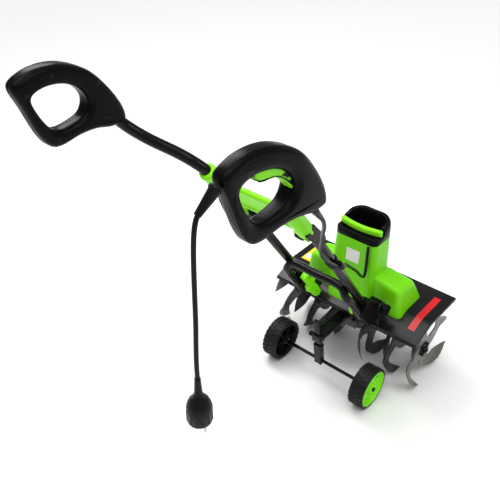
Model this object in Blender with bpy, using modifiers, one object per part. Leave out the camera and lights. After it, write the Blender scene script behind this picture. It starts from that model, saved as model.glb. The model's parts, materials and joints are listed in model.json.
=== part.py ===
"""Electric garden tiller, modelled in metres, +Z up, +Y forward, +X to the machine's right.

The origin is on the ground, below the middle of the machine's box. Sub-parts are placed
with spot(), which counts from the ground point below the middle of the tine shaft.
"""
import math

import bmesh
import bpy
from mathutils import Matrix, Vector

# ---- Driving dimensions -----------------------------------------------------------
SHAFT_Y = 0.3305            # tine shaft, ahead of the origin
SHAFT_Z = 0.1005            # tine shaft, above the ground
TINE_RADIUS = 0.1005
STAR_SPOTS = (0.052, 0.124, 0.196)
HOOD_HALF_WIDTH = 0.215
HOOD_TOP = 0.212
HOOD_FRONT, HOOD_BEND, HOOD_REAR = 0.107, -0.018, -0.090
WORM_Y = -0.026             # motor and worm axis
AXLE_Y = -0.166
WHEEL_RADIUS = 0.0556
WHEEL_SPOT = 0.137
TUBE_SPOT = 0.090           # half the spacing of the handle tubes
TUBE_RADIUS = 0.0105
LOWER_TUBE_TOP = (-0.380, 0.6076)
LOWER_TUBE_FOOT = (-0.1075, 0.2256)
FOLD_AXIS = (-0.3685, 0.5914)
TILT_AXIS = (-0.086, 0.244)
HANDLE_SPOT = 0.2176
HANDLE_HALF_WIDTH = 0.020
GAP = 0.0003                # between pieces that touch
WELD = 0.00002

# ---- Outlines, as (y, z) from the tine shaft's ground point -----------------------
HANDLE_OUTLINE = [(-0.768, 0.941), (-0.742, 0.957), (-0.705, 0.960), (-0.665, 0.951),
                  (-0.622, 0.927), (-0.586, 0.886), (-0.562, 0.845), (-0.560, 0.818),
                  (-0.590, 0.815), (-0.625, 0.823), (-0.660, 0.824), (-0.697, 0.819),
                  (-0.718, 0.825), (-0.735, 0.850), (-0.754, 0.900)]
HANDLE_HOLE = [(-0.739, 0.913), (-0.715, 0.925), (-0.678, 0.921), (-0.650, 0.905),
               (-0.634, 0.880), (-0.642, 0.858), (-0.668, 0.850), (-0.702, 0.850),
               (-0.722, 0.870)]
TRIGGER_OUTER = [(-0.710, 0.929), (-0.676, 0.928), (-0.648, 0.915), (-0.628, 0.893),
                 (-0.624, 0.876)]
TRIGGER_INNER = [(-0.631, 0.871), (-0.640, 0.880), (-0.656, 0.897), (-0.675, 0.908),
                 (-0.704, 0.915)]
TRIGGER_AXIS = (-0.704, 0.922)

# ---- Routes, as (x, y, z) from the tine shaft's ground point ----------------------
UPPER_TUBE = [(0.2176, -0.600, 0.860), (0.2176, -0.583, 0.836), (0.209, -0.558, 0.805),
              (0.180, -0.533, 0.778), (0.135, -0.503, 0.752), (0.103, -0.486, 0.733),
              (0.0902, -0.470, 0.7125), (0.090, -0.430, 0.662), (0.090, -0.407, 0.633)]
MAINS_CORD = [(0.2176, -0.8068, 0.9125), (0.2176, -0.8112, 0.905), (0.2176, -0.8150, 0.890),
              (0.2176, -0.8175, 0.865), (0.2176, -0.8190, 0.830), (0.2176, -0.8200, 0.790),
              (0.2176, -0.8210, 0.750), (0.2176, -0.8230, 0.710), (0.2176, -0.8240, 0.680),
              (0.2176, -0.8238, 0.6553)]
CABLE_UPPER = [(0.2275, -0.5595, 0.7889), (0.2240, -0.5481, 0.7751), (0.2145, -0.5314, 0.7516),
               (0.1892, -0.4960, 0.7087), (0.1680, -0.4650, 0.6670), (0.1500, -0.4390, 0.6290),
               (0.1330, -0.4060, 0.5890), (0.1210, -0.3660, 0.5480), (0.1130, -0.3200, 0.5080)]
CABLE_LOWER = [(0.1100, -0.2985, 0.4905), (0.1020, -0.2700, 0.4720), (0.0790, -0.2300, 0.4450),
               (0.0640, -0.1850, 0.4050), (0.0570, -0.1400, 0.3630), (0.0510, -0.1050, 0.3250),
               (0.0470, -0.0830, 0.3080), (0.0450, -0.0745, 0.3180), (0.0440, -0.0720, 0.3440),
               (0.0430, -0.0705, 0.3700), (0.0425, -0.0700, 0.3800)]

for old in list(bpy.data.objects):
    bpy.data.objects.remove(old)
tiller = bpy.data.collections.new("tiller")
bpy.context.scene.collection.children.link(tiller)


def spot(x, y, z):
    """A point, from the ground point below the middle of the tine shaft."""
    return Vector((x, y + SHAFT_Y, z))


def hood_height(y):
    """Height of the hood's upper face: flat, then a widening slope behind the bend."""
    drop = max(0.0, (HOOD_BEND - y) / (HOOD_BEND - HOOD_REAR))
    return HOOD_TOP - 0.028 * drop ** 1.25


# ---- Tools that make one closed solid each ----------------------------------------
def material(name, colour, roughness, metallic=0.0):
    made = bpy.data.materials.new(name)
    made.use_nodes = True
    shader = made.node_tree.nodes["Principled BSDF"]
    shader.inputs["Base Color"].default_value = (*colour, 1.0)
    shader.inputs["Roughness"].default_value = roughness
    shader.inputs["Metallic"].default_value = metallic
    return made


def add(name, data, look, matrix=None):
    """Link a new object to the tiller's collection."""
    made = bpy.data.objects.new(name, data)
    data.materials.clear()
    data.materials.append(look)
    tiller.objects.link(made)
    if matrix is not None:
        made.matrix_world = matrix
    return made


def baked(source):
    """Swap an object for a mesh of its evaluated shape, welded, with faces pointing out."""
    bpy.context.view_layer.update()
    depsgraph = bpy.context.evaluated_depsgraph_get()
    mesh = bpy.data.meshes.new_from_object(source.evaluated_get(depsgraph))
    work = bmesh.new()
    work.from_mesh(mesh)
    bmesh.ops.remove_doubles(work, verts=work.verts, dist=WELD)
    bmesh.ops.dissolve_degenerate(work, edges=work.edges, dist=WELD)
    bmesh.ops.recalc_face_normals(work, faces=work.faces)
    work.to_mesh(mesh)
    work.free()
    mesh.shade_smooth()
    mesh.set_sharp_from_angle(angle=math.radians(35))
    name = source.name
    look = source.data.materials[0]
    matrix = source.matrix_world.copy()
    bpy.data.objects.remove(source)
    return add(name, mesh, look, matrix)


def from_bmesh(name, work, look, matrix=None):
    mesh = bpy.data.meshes.new(name)
    work.to_mesh(mesh)
    work.free()
    return baked(add(name, mesh, look, matrix))


def box(name, low, high, look, bevel=0.0):
    """A box between two corners, with rounded edges if asked."""
    low, high = spot(*low), spot(*high)
    work = bmesh.new()
    bmesh.ops.create_cube(work, size=1.0)
    bmesh.ops.scale(work, vec=high - low, verts=work.verts)
    bmesh.ops.translate(work, vec=(low + high) / 2, verts=work.verts)
    if bevel:
        bmesh.ops.bevel(work, geom=list(work.edges), offset=bevel, segments=2,
                        profile=0.5, affect="EDGES")
    return from_bmesh(name, work, look)


def rod(name, start, end, radius, look, sides=14, end_radius=None):
    """A cylinder or cone between two points."""
    start, end = spot(*start), spot(*end)
    run = end - start
    work = bmesh.new()
    bmesh.ops.create_cone(work, cap_ends=True, segments=sides, radius1=radius,
                          radius2=radius if end_radius is None else end_radius,
                          depth=run.length)
    turn = run.to_track_quat("Z", "Y").to_matrix().to_4x4()
    bmesh.ops.transform(work, matrix=Matrix.Translation((start + end) / 2) @ turn,
                        verts=work.verts)
    return from_bmesh(name, work, look)


def smooth_path(points, spacing):
    """Points along a smooth curve through the given ones, about one per spacing."""
    knots = [Vector(point) for point in points]
    knots = [2 * knots[0] - knots[1]] + knots + [2 * knots[-1] - knots[-2]]
    path = [knots[1]]
    for before, start, end, after in zip(knots, knots[1:], knots[2:], knots[3:]):
        steps = max(1, round((end - start).length / spacing))
        for step in range(1, steps + 1):
            t = step / steps
            path.append(0.5 * (2 * start + (end - before) * t
                               + (2 * before - 5 * start + 4 * end - after) * t ** 2
                               + (3 * start - before - 3 * end + after) * t ** 3))
    return path


def smooth_loop(points, steps):
    """A closed smooth outline through 2D points."""
    loop = []
    count = len(points)
    for index in range(count):
        before, start, end, after = (Vector(points[(index + k) % count]) for k in (-1, 0, 1, 2))
        for step in range(steps):
            t = step / steps
            loop.append(0.5 * (2 * start + (end - before) * t
                               + (2 * before - 5 * start + 4 * end - after) * t ** 2
                               + (3 * start - before - 3 * end + after) * t ** 3))
    return loop


def inset(loop, distance):
    """Move a clockwise or anticlockwise outline inwards, by distance."""
    count = len(loop)
    area = sum(a.x * b.y - b.x * a.y for a, b in zip(loop, loop[1:] + loop[:1]))
    side = 1 if area > 0 else -1
    moved = []
    for index, point in enumerate(loop):
        along = (loop[(index + 1) % count] - loop[index - 1]).normalized()
        moved.append(point + side * distance * Vector((-along.y, along.x)))
    return moved


def tube(name, points, radius, look, spacing=0.012, resolution=2):
    """A round tube or cord on a smooth route."""
    curve = bpy.data.curves.new(name, "CURVE")
    curve.dimensions = "3D"
    curve.bevel_depth = radius
    curve.bevel_resolution = resolution
    curve.use_fill_caps = True
    path = smooth_path(points, spacing)
    spline = curve.splines.new("POLY")
    spline.points.add(len(path) - 1)
    for knot, point in zip(spline.points, path):
        knot.co = (*spot(*point), 1.0)
    return baked(add(name, curve, look))


def plate(name, loops, low, high, axis, look, bevel=0.0):
    """Flat outlines, the later ones holes, thickened from low to high along an axis.

    Outlines are (y, z) for axis X and (x, y) for axis Z.
    """
    curve = bpy.data.curves.new(name, "CURVE")
    curve.dimensions = "2D"
    curve.fill_mode = "BOTH"
    curve.extrude = abs(high - low) / 2 - bevel
    curve.bevel_depth = bevel
    curve.bevel_resolution = 0
    curve.offset = -bevel
    for loop in loops:
        spline = curve.splines.new("POLY")
        spline.use_cyclic_u = True
        spline.points.add(len(loop) - 1)
        for knot, point in zip(spline.points, loop):
            knot.co = (point[0], point[1], 0.0, 1.0)
    made = add(name, curve, look)
    middle = (low + high) / 2
    if axis == "X":
        made.rotation_euler = (math.radians(90), 0, math.radians(90))
        made.location = spot(middle, 0, 0)
    else:
        made.location = spot(0, 0, middle)
    return baked(made)


def turned(name, profile, centre, axis, look, steps=32):
    """A closed (radius, height) profile turned about an axis through centre."""
    mesh = bpy.data.meshes.new(name)
    count = len(profile)
    edges = [(k, (k + 1) % count) for k in range(count)]
    mesh.from_pydata([(radius, 0, height) for radius, height in profile], edges, [])
    made = add(name, mesh, look)
    screw = made.modifiers.new("Screw", "SCREW")
    screw.steps = steps
    screw.render_steps = steps
    screw.use_merge_vertices = True
    screw.merge_threshold = 0.00001
    turns = {"X": (0, math.radians(90), 0), "-X": (0, math.radians(-90), 0), "Z": (0, 0, 0)}
    made.rotation_euler = turns[axis]
    made.location = spot(*centre)
    return baked(made)


def loft(name, sections, look):
    """A solid through matching closed sections, with flat ends."""
    work = bmesh.new()
    rings = [[work.verts.new(spot(*point)) for point in section] for section in sections]
    count = len(rings[0])
    for lower, upper in zip(rings, rings[1:]):
        for k in range(count):
            work.faces.new((lower[k], lower[(k + 1) % count], upper[(k + 1) % count], upper[k]))
    work.faces.new(rings[0][::-1])
    work.faces.new(rings[-1])
    return from_bmesh(name, work, look)


def combine(solid, operation, *others):
    """Cut, join or intersect a solid with others, which are used up."""
    for other in others:
        modifier = solid.modifiers.new(operation, "BOOLEAN")
        modifier.operation = operation
        modifier.object = other
        modifier.solver = "EXACT"
        solid = baked(solid)
        bpy.data.objects.remove(other)
    return solid


def cut(solid, *others):
    return combine(solid, "DIFFERENCE", *others)


def join(solid, *others):
    return combine(solid, "UNION", *others)


def twin(source, name):
    """The mirror image of a solid, on the machine's other side."""
    mesh = source.data.copy()
    mesh.transform(Matrix.Scale(-1, 4, (1, 0, 0)) @ source.matrix_world)
    mesh.flip_normals()
    return add(name, mesh, source.data.materials[0])


def turn_about(solid, y, z, angle):
    """Turn a solid about a line along X."""
    centre = spot(0, y, z)
    solid.matrix_world = (Matrix.Translation(centre) @ Matrix.Rotation(angle, 4, "X")
                          @ Matrix.Translation(-centre) @ solid.matrix_world)
    return solid


# ---- Materials --------------------------------------------------------------------
GREEN = (0.165, 0.640, 0.006)
BRIGHT_GREEN = (0.240, 0.760, 0.010)
housing_green = material("housing_green", GREEN, 0.38)
moulding_green = material("moulding_green", BRIGHT_GREEN, 0.40)
black_plastic = material("black_plastic", (0.012, 0.012, 0.013), 0.42)
black_rubber = material("black_rubber", (0.018, 0.018, 0.019), 0.65)
black_paint = material("black_paint", (0.014, 0.014, 0.015), 0.25)
tine_steel = material("tine_steel", (0.32, 0.31, 0.30), 0.40, 1.0)
bright_steel = material("bright_steel", (0.62, 0.62, 0.63), 0.28, 1.0)
copper = material("copper", (0.72, 0.35, 0.18), 0.35, 1.0)
cast_metal = material("cast_metal", (0.42, 0.43, 0.44), 0.55, 1.0)
gear_nylon = material("gear_nylon", (0.80, 0.77, 0.66), 0.5)


# ---- Hood -------------------------------------------------------------------------
def make_hood():
    rows = [HOOD_FRONT, HOOD_BEND, -0.036, -0.054, -0.072, HOOD_REAR]
    lip = 0.008
    work = bmesh.new()
    left = [work.verts.new(spot(-HOOD_HALF_WIDTH, y, hood_height(y))) for y in rows]
    right = [work.verts.new(spot(HOOD_HALF_WIDTH, y, hood_height(y))) for y in rows]
    for k in range(len(rows) - 1):
        work.faces.new((left[k], left[k + 1], right[k + 1], right[k]))
    border = [edge for edge in work.edges if edge.is_boundary]
    skirt = bmesh.ops.extrude_edge_only(work, edges=border)["geom"]
    lower = [item for item in skirt if isinstance(item, bmesh.types.BMVert)]
    bmesh.ops.translate(work, vec=(0, 0, -lip), verts=lower)
    bmesh.ops.recalc_face_normals(work, faces=work.faces)
    mesh = bpy.data.meshes.new("hood")
    work.to_mesh(mesh)
    work.free()
    hood = add("hood", mesh, black_paint)
    wall = hood.modifiers.new("Solidify", "SOLIDIFY")
    wall.thickness = 0.0016
    wall.offset = -1
    wall.use_even_offset = True
    hood = cut(baked(hood), box("passage", (-0.026, -0.046, 0.16), (0.026, 0.038, 0.23),
                                black_paint))
    outline = [(-0.088, hood_height(-0.088) - 0.001), (-0.062, hood_height(-0.062) - 0.001),
               (-0.072, 0.250), (-0.080, 0.258), (-0.092, 0.258), (-0.100, 0.248)]
    lug = cut(plate("lug", [outline], 0.1044, 0.1080, "X", black_paint),
              rod("lug_bore", (0.09, *TILT_AXIS), (0.12, *TILT_AXIS), 0.0045, black_paint, 16))
    other = twin(lug, "other_lug")
    return join(hood, lug, other)


# ---- Motor housing ----------------------------------------------------------------
def rounded_plan(half, back, front, back_radius, front_radius, height, tilt=0.0):
    """A rounded rectangle seen from above; height grows by tilt per metre forward."""
    ring = []
    corners = [(half, front, front_radius, 0, 4), (-half, front, front_radius, 90, 4),
               (-half, back, back_radius, 180, 3), (half, back, back_radius, 270, 3)]
    for x, y, radius, start, steps in corners:
        centre_x = x - math.copysign(radius, x)
        centre_y = y - radius if y == front else y + radius
        for step in range(steps + 1):
            angle = math.radians(start + 90 * step / steps)
            px = centre_x + radius * math.cos(angle)
            py = centre_y + radius * math.sin(angle)
            ring.append((px, py, height + tilt * (py - back)))
    return ring


def saddle(name, wall, floor):
    """The cross-wise lower part, drafted inwards, each face moved in by wall."""
    def section(x_low, x_high, z_rear, z_front, front_low):
        return [(x_low, -0.053 + wall, floor), (x_high, -0.055 + wall, z_rear - wall),
                (x_high, 0.022 - wall, z_front - wall), (x_low, front_low - wall, floor)]
    ends = [section(-0.147 + wall, -0.134 + wall, 0.285, 0.277, 0.068),
            section(-0.068, -0.068, 0.296, 0.286, 0.072),
            section(0.068, 0.068, 0.296, 0.286, 0.072),
            section(0.147 - wall, 0.134 - wall, 0.285, 0.277, 0.068)]
    made = loft(name, ends, housing_green)
    if wall == 0:
        rounding = made.modifiers.new("Bevel", "BEVEL")
        rounding.width = 0.008
        rounding.segments = 2
        rounding.limit_method = "ANGLE"
        rounding.angle_limit = math.radians(35)
        made = baked(made)
    return made


def tower(name, wall, floor, top):
    sections = [rounded_plan(0.0665 - wall, -0.073 + wall, 0.035 - wall, 0.016, 0.036, floor),
                rounded_plan(0.062 - wall, -0.0665 + wall, 0.030 - wall, 0.016, 0.036, 0.300),
                rounded_plan(0.0592 - wall, -0.064 + wall, 0.027 - wall, 0.016, 0.036, top)]
    return loft(name, sections, housing_green)


def below_hood(name, clearance):
    """A block that fills the space under the hood's upper face."""
    rows = [0.2, HOOD_BEND, -0.036, -0.054, -0.072, HOOD_REAR, -0.2]
    outline = [(y, hood_height(max(y, HOOD_REAR)) + clearance) for y in rows]
    outline += [(-0.2, 0.1), (0.2, 0.1)]
    return plate(name, [outline], -0.3, 0.3, "X", housing_green)


def make_motor_housing():
    wall = 0.003
    shell = join(saddle("motor_housing", 0.0, 0.19), tower("tower", 0.0, 0.19, 0.386))
    shell = cut(shell, below_hood("hood_space", GAP))
    return cut(shell, saddle("hollow", wall, 0.15), tower("shaft", wall, 0.15, 0.42))


def make_motor_cap():
    """Black cap: a band round the tower's top, and a hand pocket behind its raised rim."""
    tilt = 0.19
    low, rim = 0.386 + GAP, 0.4165
    outer = loft("motor_cap", [rounded_plan(0.0592, -0.064, 0.027, 0.016, 0.036, low),
                               rounded_plan(0.0592, -0.064, 0.027, 0.016, 0.036, rim - 0.012),
                               rounded_plan(0.0560, -0.061, 0.024, 0.016, 0.034, rim, tilt)],
                 black_plastic)
    tub = loft("tub", [rounded_plan(0.0505, -0.0555, 0.0185, 0.012, 0.030, 0.372),
                       rounded_plan(0.0505, -0.0555, 0.0185, 0.012, 0.030, 0.390)], black_plastic)
    pocket = loft("pocket", [rounded_plan(0.0470, -0.0520, 0.0150, 0.010, 0.028, 0.3755),
                             rounded_plan(0.0475, -0.0525, 0.0155, 0.010, 0.028, 0.460)],
                  black_plastic)
    seat = box("seat", (-0.09, -0.09, 0.4035), (0.09, -0.027, 0.46), black_plastic)
    return cut(join(outer, tub), pocket, seat)


def make_carry_grip():
    """Slightly bowed bar across the hand pocket's rear half, with a screw well at each end."""
    radius, centre_y, half_depth = 0.170, 0.125, 0.0060
    reach = math.radians(19.5)
    steps = 10
    angles = [-math.pi / 2 - reach + 2 * reach * k / steps for k in range(steps + 1)]
    outline = [Vector((math.cos(a), math.sin(a))) * (radius + half_depth) for a in angles]
    outline += [Vector((math.cos(a), math.sin(a))) * (radius - half_depth)
                for a in reversed(angles)]
    outline = [point + Vector((0, centre_y)) for point in outline]
    bar = plate("carry_grip", [outline], 0.4038, 0.4205, "Z", moulding_green, bevel=0.003)
    wells = [rod("well", (side * 0.0525, -0.0368, 0.415), (side * 0.0525, -0.0368, 0.44), 0.0036,
                 moulding_green, 14) for side in (-1, 1)]
    return cut(bar, *wells)


# ---- Motor ------------------------------------------------------------------------
def make_motor_can():
    return turned("motor_can", [(0.0080, 0.286), (0.0340, 0.286), (0.0340, 0.362),
                                (0.0320, 0.362), (0.0320, 0.288), (0.0080, 0.288)],
                  (0, WORM_Y, 0), "Z", cast_metal, 20)


def make_armature_core():
    """Laminated core with winding slots and a commutator, bored for the motor shaft."""
    slots = 7
    ring = []
    for k in range(slots):
        for part, radius in ((0.0, 0.0262), (0.62, 0.0262), (0.66, 0.0200), (0.96, 0.0200)):
            angle = 2 * math.pi * (k + part) / slots
            ring.append((radius * math.cos(angle), WORM_Y + radius * math.sin(angle)))
    bore = [(0.0043 * math.cos(math.tau * k / 16), WORM_Y + 0.0043 * math.sin(math.tau * k / 16))
            for k in range(16)]
    core = plate("armature_core", [ring, bore], 0.294, 0.336, "Z", copper)
    return join(core, ring_about("commutator", (0, WORM_Y, 0), "Z", 0.0043, 0.0110, 0.3355, 0.3540,
                                 copper))


def ring_about(name, centre, axis, inner, outer, low, high, look, steps=16):
    return turned(name, [(inner, low), (outer, low), (outer, high), (inner, high)],
                  centre, axis, look, steps)


def make_fan():
    axis = (0, WORM_Y, 0)
    fan = ring_about("cooling_fan", axis, "Z", 0.0043, 0.0290, 0.2760, 0.2775, black_plastic)
    fan = join(fan, ring_about("boss", axis, "Z", 0.0043, 0.0085, 0.2768, 0.2820, black_plastic))
    for k in range(6):
        blade = box("blade", (0.0080, -0.0008, 0.2770), (0.0280, 0.0008, 0.2825), black_plastic)
        centre = Matrix.Translation(spot(0, 0, 0))
        blade.matrix_world = (Matrix.Translation((0, WORM_Y, 0)) @ centre
                              @ Matrix.Rotation(math.radians(60 * k + 15), 4, "Z")
                              @ centre.inverted())
        fan = join(fan, blade)
    return fan


def make_worm():
    """Motor shaft, with a helical thread at its lower end where it faces the worm wheel."""
    turns, steps, pitch = 4, 8, 0.0036
    work = bmesh.new()
    profile = [(0.0046, -0.0008), (0.0057, -0.0003), (0.0057, 0.0003), (0.0046, 0.0008)]
    rings = []
    for k in range(turns * steps + 1):
        angle = math.tau * k / steps
        rise = SHAFT_Z - turns * pitch / 2 + pitch * k / steps
        rings.append([work.verts.new(spot(r * math.cos(angle), WORM_Y + r * math.sin(angle),
                                          rise + h)) for r, h in profile])
    for lower, upper in zip(rings, rings[1:]):
        for k in range(4):
            work.faces.new((lower[k], lower[(k + 1) % 4], upper[(k + 1) % 4], upper[k]))
    work.faces.new(rings[0][::-1])
    work.faces.new(rings[-1])
    thread = from_bmesh("thread", work, bright_steel)
    shaft = rod("worm_shaft", (0, WORM_Y, 0.0780), (0, WORM_Y, 0.2660), 0.0050, bright_steel, 12)
    neck = rod("neck", (0, WORM_Y, 0.2650), (0, WORM_Y, 0.3705), 0.0040, bright_steel, 12)
    return join(shaft, neck, thread)


def make_worm_wheel():
    teeth, root, tip = 40, 0.0188, 0.0199
    ring = []
    for k in range(teeth):
        for part, radius in ((0.0, root), (0.35, tip), (0.75, tip)):
            angle = math.tau * (k + part) / teeth
            ring.append((radius * math.cos(angle), SHAFT_Z + radius * math.sin(angle)))
    bore = [(0.0083 * math.cos(math.tau * k / 20), SHAFT_Z + 0.0083 * math.sin(math.tau * k / 20))
            for k in range(20)]
    return plate("worm_wheel", [ring, bore], -0.006, 0.006, "X", gear_nylon)


# ---- Gear case --------------------------------------------------------------------
def case_outline(margin):
    """Round bottom about the tine shaft, blended into a column about the worm."""
    round_radius = 0.0235 + margin
    half = 0.0085 + margin
    outline = [(WORM_Y - half, 0.262 + margin)]
    for k in range(15):
        angle = math.radians(170 + 200 * k / 14)
        outline.append((round_radius * math.cos(angle) - 0.003,
                        SHAFT_Z + round_radius * math.sin(angle)))
    outline[1] = (WORM_Y - half, SHAFT_Z + 0.012)
    outline.insert(2, (WORM_Y - half, SHAFT_Z - 0.012))
    outline += [(0.008 + margin, 0.140), (WORM_Y + half, 0.158), (WORM_Y + half, 0.262 + margin)]
    return outline


def make_gear_case():
    half = plate("gear_case_right", [case_outline(0.005)], 0.00015, 0.0175, "X", cast_metal)
    wheel_space = rod("wheel_space", (-0.01, 0, SHAFT_Z), (0.0085, 0, SHAFT_Z), 0.0215, cast_metal,
                      28)
    worm_space = rod("worm_space", (0, WORM_Y, 0.0740), (0, WORM_Y, 0.30), 0.0075, cast_metal, 20)
    bush_seat = rod("bush_seat", (-0.01, 0, SHAFT_Z), (0.03, 0, SHAFT_Z), 0.0112, cast_metal, 24)
    right = cut(half, wheel_space, worm_space, bush_seat)
    return [right, twin(right, "gear_case_left")]


# ---- Tine rotor -------------------------------------------------------------------
def star_outline():
    """Four sickle blades round a hub, as one closed outline about the shaft."""
    spine = [(0.030, 192, 0.040), (0.052, 195, 0.038), (0.072, 202, 0.031), (0.084, 215, 0.026),
             (0.092, 231, 0.019)]
    loop = []
    for blade in range(4):
        centres = [Vector((r * math.cos(math.radians(a + 90 * blade)),
                           r * math.sin(math.radians(a + 90 * blade)))) for r, a, _ in spine]
        tip_angle = math.radians(250 + 90 * blade)
        tip = TINE_RADIUS * Vector((math.cos(tip_angle), math.sin(tip_angle)))
        near, far = [], []
        path = centres + [tip]
        for k, (_, _, width) in enumerate(spine):
            along = (path[k + 1] - path[max(k - 1, 0)]).normalized()
            across = Vector((-along.y, along.x)) * width / 2
            far.append(path[k] - across)
            near.append(path[k] + across)
        loop += far + [tip] + near[::-1]
    return [(point.x, SHAFT_Z + point.y) for point in loop]


def make_star(name, x, phase):
    """A star of blades; each blade's tip is bent outwards, away from the gear case."""
    thick, bend_from, reach = 0.0035, 0.086, 0.018
    star = plate(name, [star_outline()], x - thick / 2, x + thick / 2, "X", tine_steel)
    centre = spot(0, 0, SHAFT_Z)
    for vertex in star.data.vertices:
        place = star.matrix_world @ vertex.co
        radius = (place - centre).yz.length
        bend = max(0.0, radius - bend_from) / (TINE_RADIUS - bend_from) * reach
        vertex.co = star.matrix_world.inverted() @ (place + Vector((bend, 0, 0)))
    bore = rod("bore", (x - 0.01, 0, SHAFT_Z), (x + 0.01, 0, SHAFT_Z), 0.0083, tine_steel, 16)
    return baked(turn_about(cut(star, bore), 0, SHAFT_Z, math.radians(phase)))


def make_end_flange():
    """Flange that holds the outer star, with its four bolt heads and the shaft's nut."""
    centre = (0, 0, SHAFT_Z)
    flange = ring_about("end_flange_right", centre, "X", 0.0083, 0.0205, 0.1981, 0.2003,
                        black_paint)
    bolts = [rod("nut", (0.1999, 0, SHAFT_Z), (0.2080, 0, SHAFT_Z), 0.0105, black_paint, 6)]
    for k in range(4):
        angle = math.radians(45 + 90 * k)
        y, z = 0.0152 * math.cos(angle), SHAFT_Z + 0.0152 * math.sin(angle)
        bolts.append(rod("bolt", (0.1999, y, z), (0.2055, y, z), 0.0042, black_paint, 6))
    flange = join(flange, *bolts)
    return cut(flange, rod("shaft_space", (0.19, 0, SHAFT_Z), (0.2038, 0, SHAFT_Z), 0.0083,
                           black_paint, 16))


def make_rotor():
    """Shaft, worm wheel, six stars on their hub tubes, and a bolted flange at each end."""
    pieces = [rod("tine_shaft", (-0.2035, 0, SHAFT_Z), (0.2035, 0, SHAFT_Z), 0.0080, bright_steel,
                  16), make_worm_wheel()]
    phases = (55, 20, 2)
    tubes = ((0.0200, 0.0520), (0.0544, 0.1240), (0.1264, 0.1960))
    for number, (x, phase, (start, end)) in enumerate(zip(STAR_SPOTS, phases, tubes), 1):
        hub = ring_about("hub_tube", (0, 0, SHAFT_Z), "X", 0.0083, 0.0125, start, end, tine_steel)
        star = join(make_star(f"tine_star_right_{number}", x, phase), hub)
        pieces += [star, twin(star, f"tine_star_left_{number}")]
    flange = make_end_flange()
    return pieces + [flange, twin(flange, "end_flange_left")]


def make_shaft_bushes():
    """Plain bushes that carry the tine shaft in the gear case."""
    bush = ring_about("shaft_bush_right", (0, 0, SHAFT_Z), "X", 0.0083, 0.0109, 0.0090, 0.0172,
                      copper)
    return [bush, twin(bush, "shaft_bush_left")]


def make_motor_bearings():
    axis = (0, WORM_Y, 0)
    lower = ring_about("lower_bearing", axis, "Z", 0.0053, 0.0072, 0.2460, 0.2520, bright_steel)
    upper = ring_about("upper_bearing", axis, "Z", 0.0043, 0.0090, 0.3640, 0.3700, bright_steel)
    return [lower, upper]


# ---- Wheels -----------------------------------------------------------------------
def make_wheel():
    """Black moulded wheel with a web, and the bright cover on its outer side."""
    centre = (WHEEL_SPOT, AXLE_Y, WHEEL_RADIUS)
    wheel = turned("wheel_right",
                   [(0.0048, -0.0190), (0.0100, -0.0190), (0.0115, 0.0), (0.0440, 0.0),
                    (0.0462, -0.0205), (0.0525, -0.0205), (WHEEL_RADIUS, -0.0165),
                    (WHEEL_RADIUS, 0.0165), (0.0525, 0.0205), (0.0490, 0.0205),
                    (0.0490, 0.0040), (0.0048, 0.0040)], centre, "X", black_rubber, 24)
    cover = turned("wheel_cover_right",
                   [(0.0048, 0.0043), (0.0487, 0.0043), (0.0487, 0.0190), (0.0455, 0.0205),
                    (0.0415, 0.0125), (0.0130, 0.0085), (0.0115, 0.0185), (0.0048, 0.0185)],
                   centre, "X", moulding_green, 24)
    slots = []
    for k in range(6):
        arc = [math.radians(60 * k + angle) for angle in (-17, 0, 17)]
        ring = [(AXLE_Y + 0.0385 * math.cos(a), WHEEL_RADIUS + 0.0385 * math.sin(a)) for a in arc]
        ring += [(AXLE_Y + 0.0190 * math.cos(a), WHEEL_RADIUS + 0.0190 * math.sin(a))
                 for a in reversed(arc)]
        slots.append(plate("slot", [ring], WHEEL_SPOT, WHEEL_SPOT + 0.03, "X", moulding_green))
    cover = cut(cover, *slots)
    return [wheel, cover, twin(wheel, "wheel_left"), twin(cover, "wheel_cover_left")]


def make_axle():
    end = WHEEL_SPOT + 0.0235
    axle = rod("axle", (-end, AXLE_Y, WHEEL_RADIUS), (end, AXLE_Y, WHEEL_RADIUS), 0.0045,
               black_paint, 16)
    caps = [rod("cap", (side * (WHEEL_SPOT + 0.0208), AXLE_Y, WHEEL_RADIUS),
                (side * (WHEEL_SPOT + 0.0230), AXLE_Y, WHEEL_RADIUS), 0.0090, black_paint, 16)
            for side in (-1, 1)]
    return join(axle, *caps)


def strut_point(height):
    """The wheel strut's middle line, which leans back a little as it rises."""
    return AXLE_Y - 0.15 * (height - WHEEL_RADIUS)


STRUT_X = -0.009
STRUT_LEAN = math.atan(0.15)


def strut_box(name, half_x, half_y, low, high, look, bevel=0.0):
    """A block along the wheel strut, from low to high above the axle."""
    made = box(name, (STRUT_X - half_x, AXLE_Y - half_y, WHEEL_RADIUS + low),
               (STRUT_X + half_x, AXLE_Y + half_y, WHEEL_RADIUS + high), look, bevel)
    return baked(turn_about(made, AXLE_Y, WHEEL_RADIUS, STRUT_LEAN))


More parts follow.
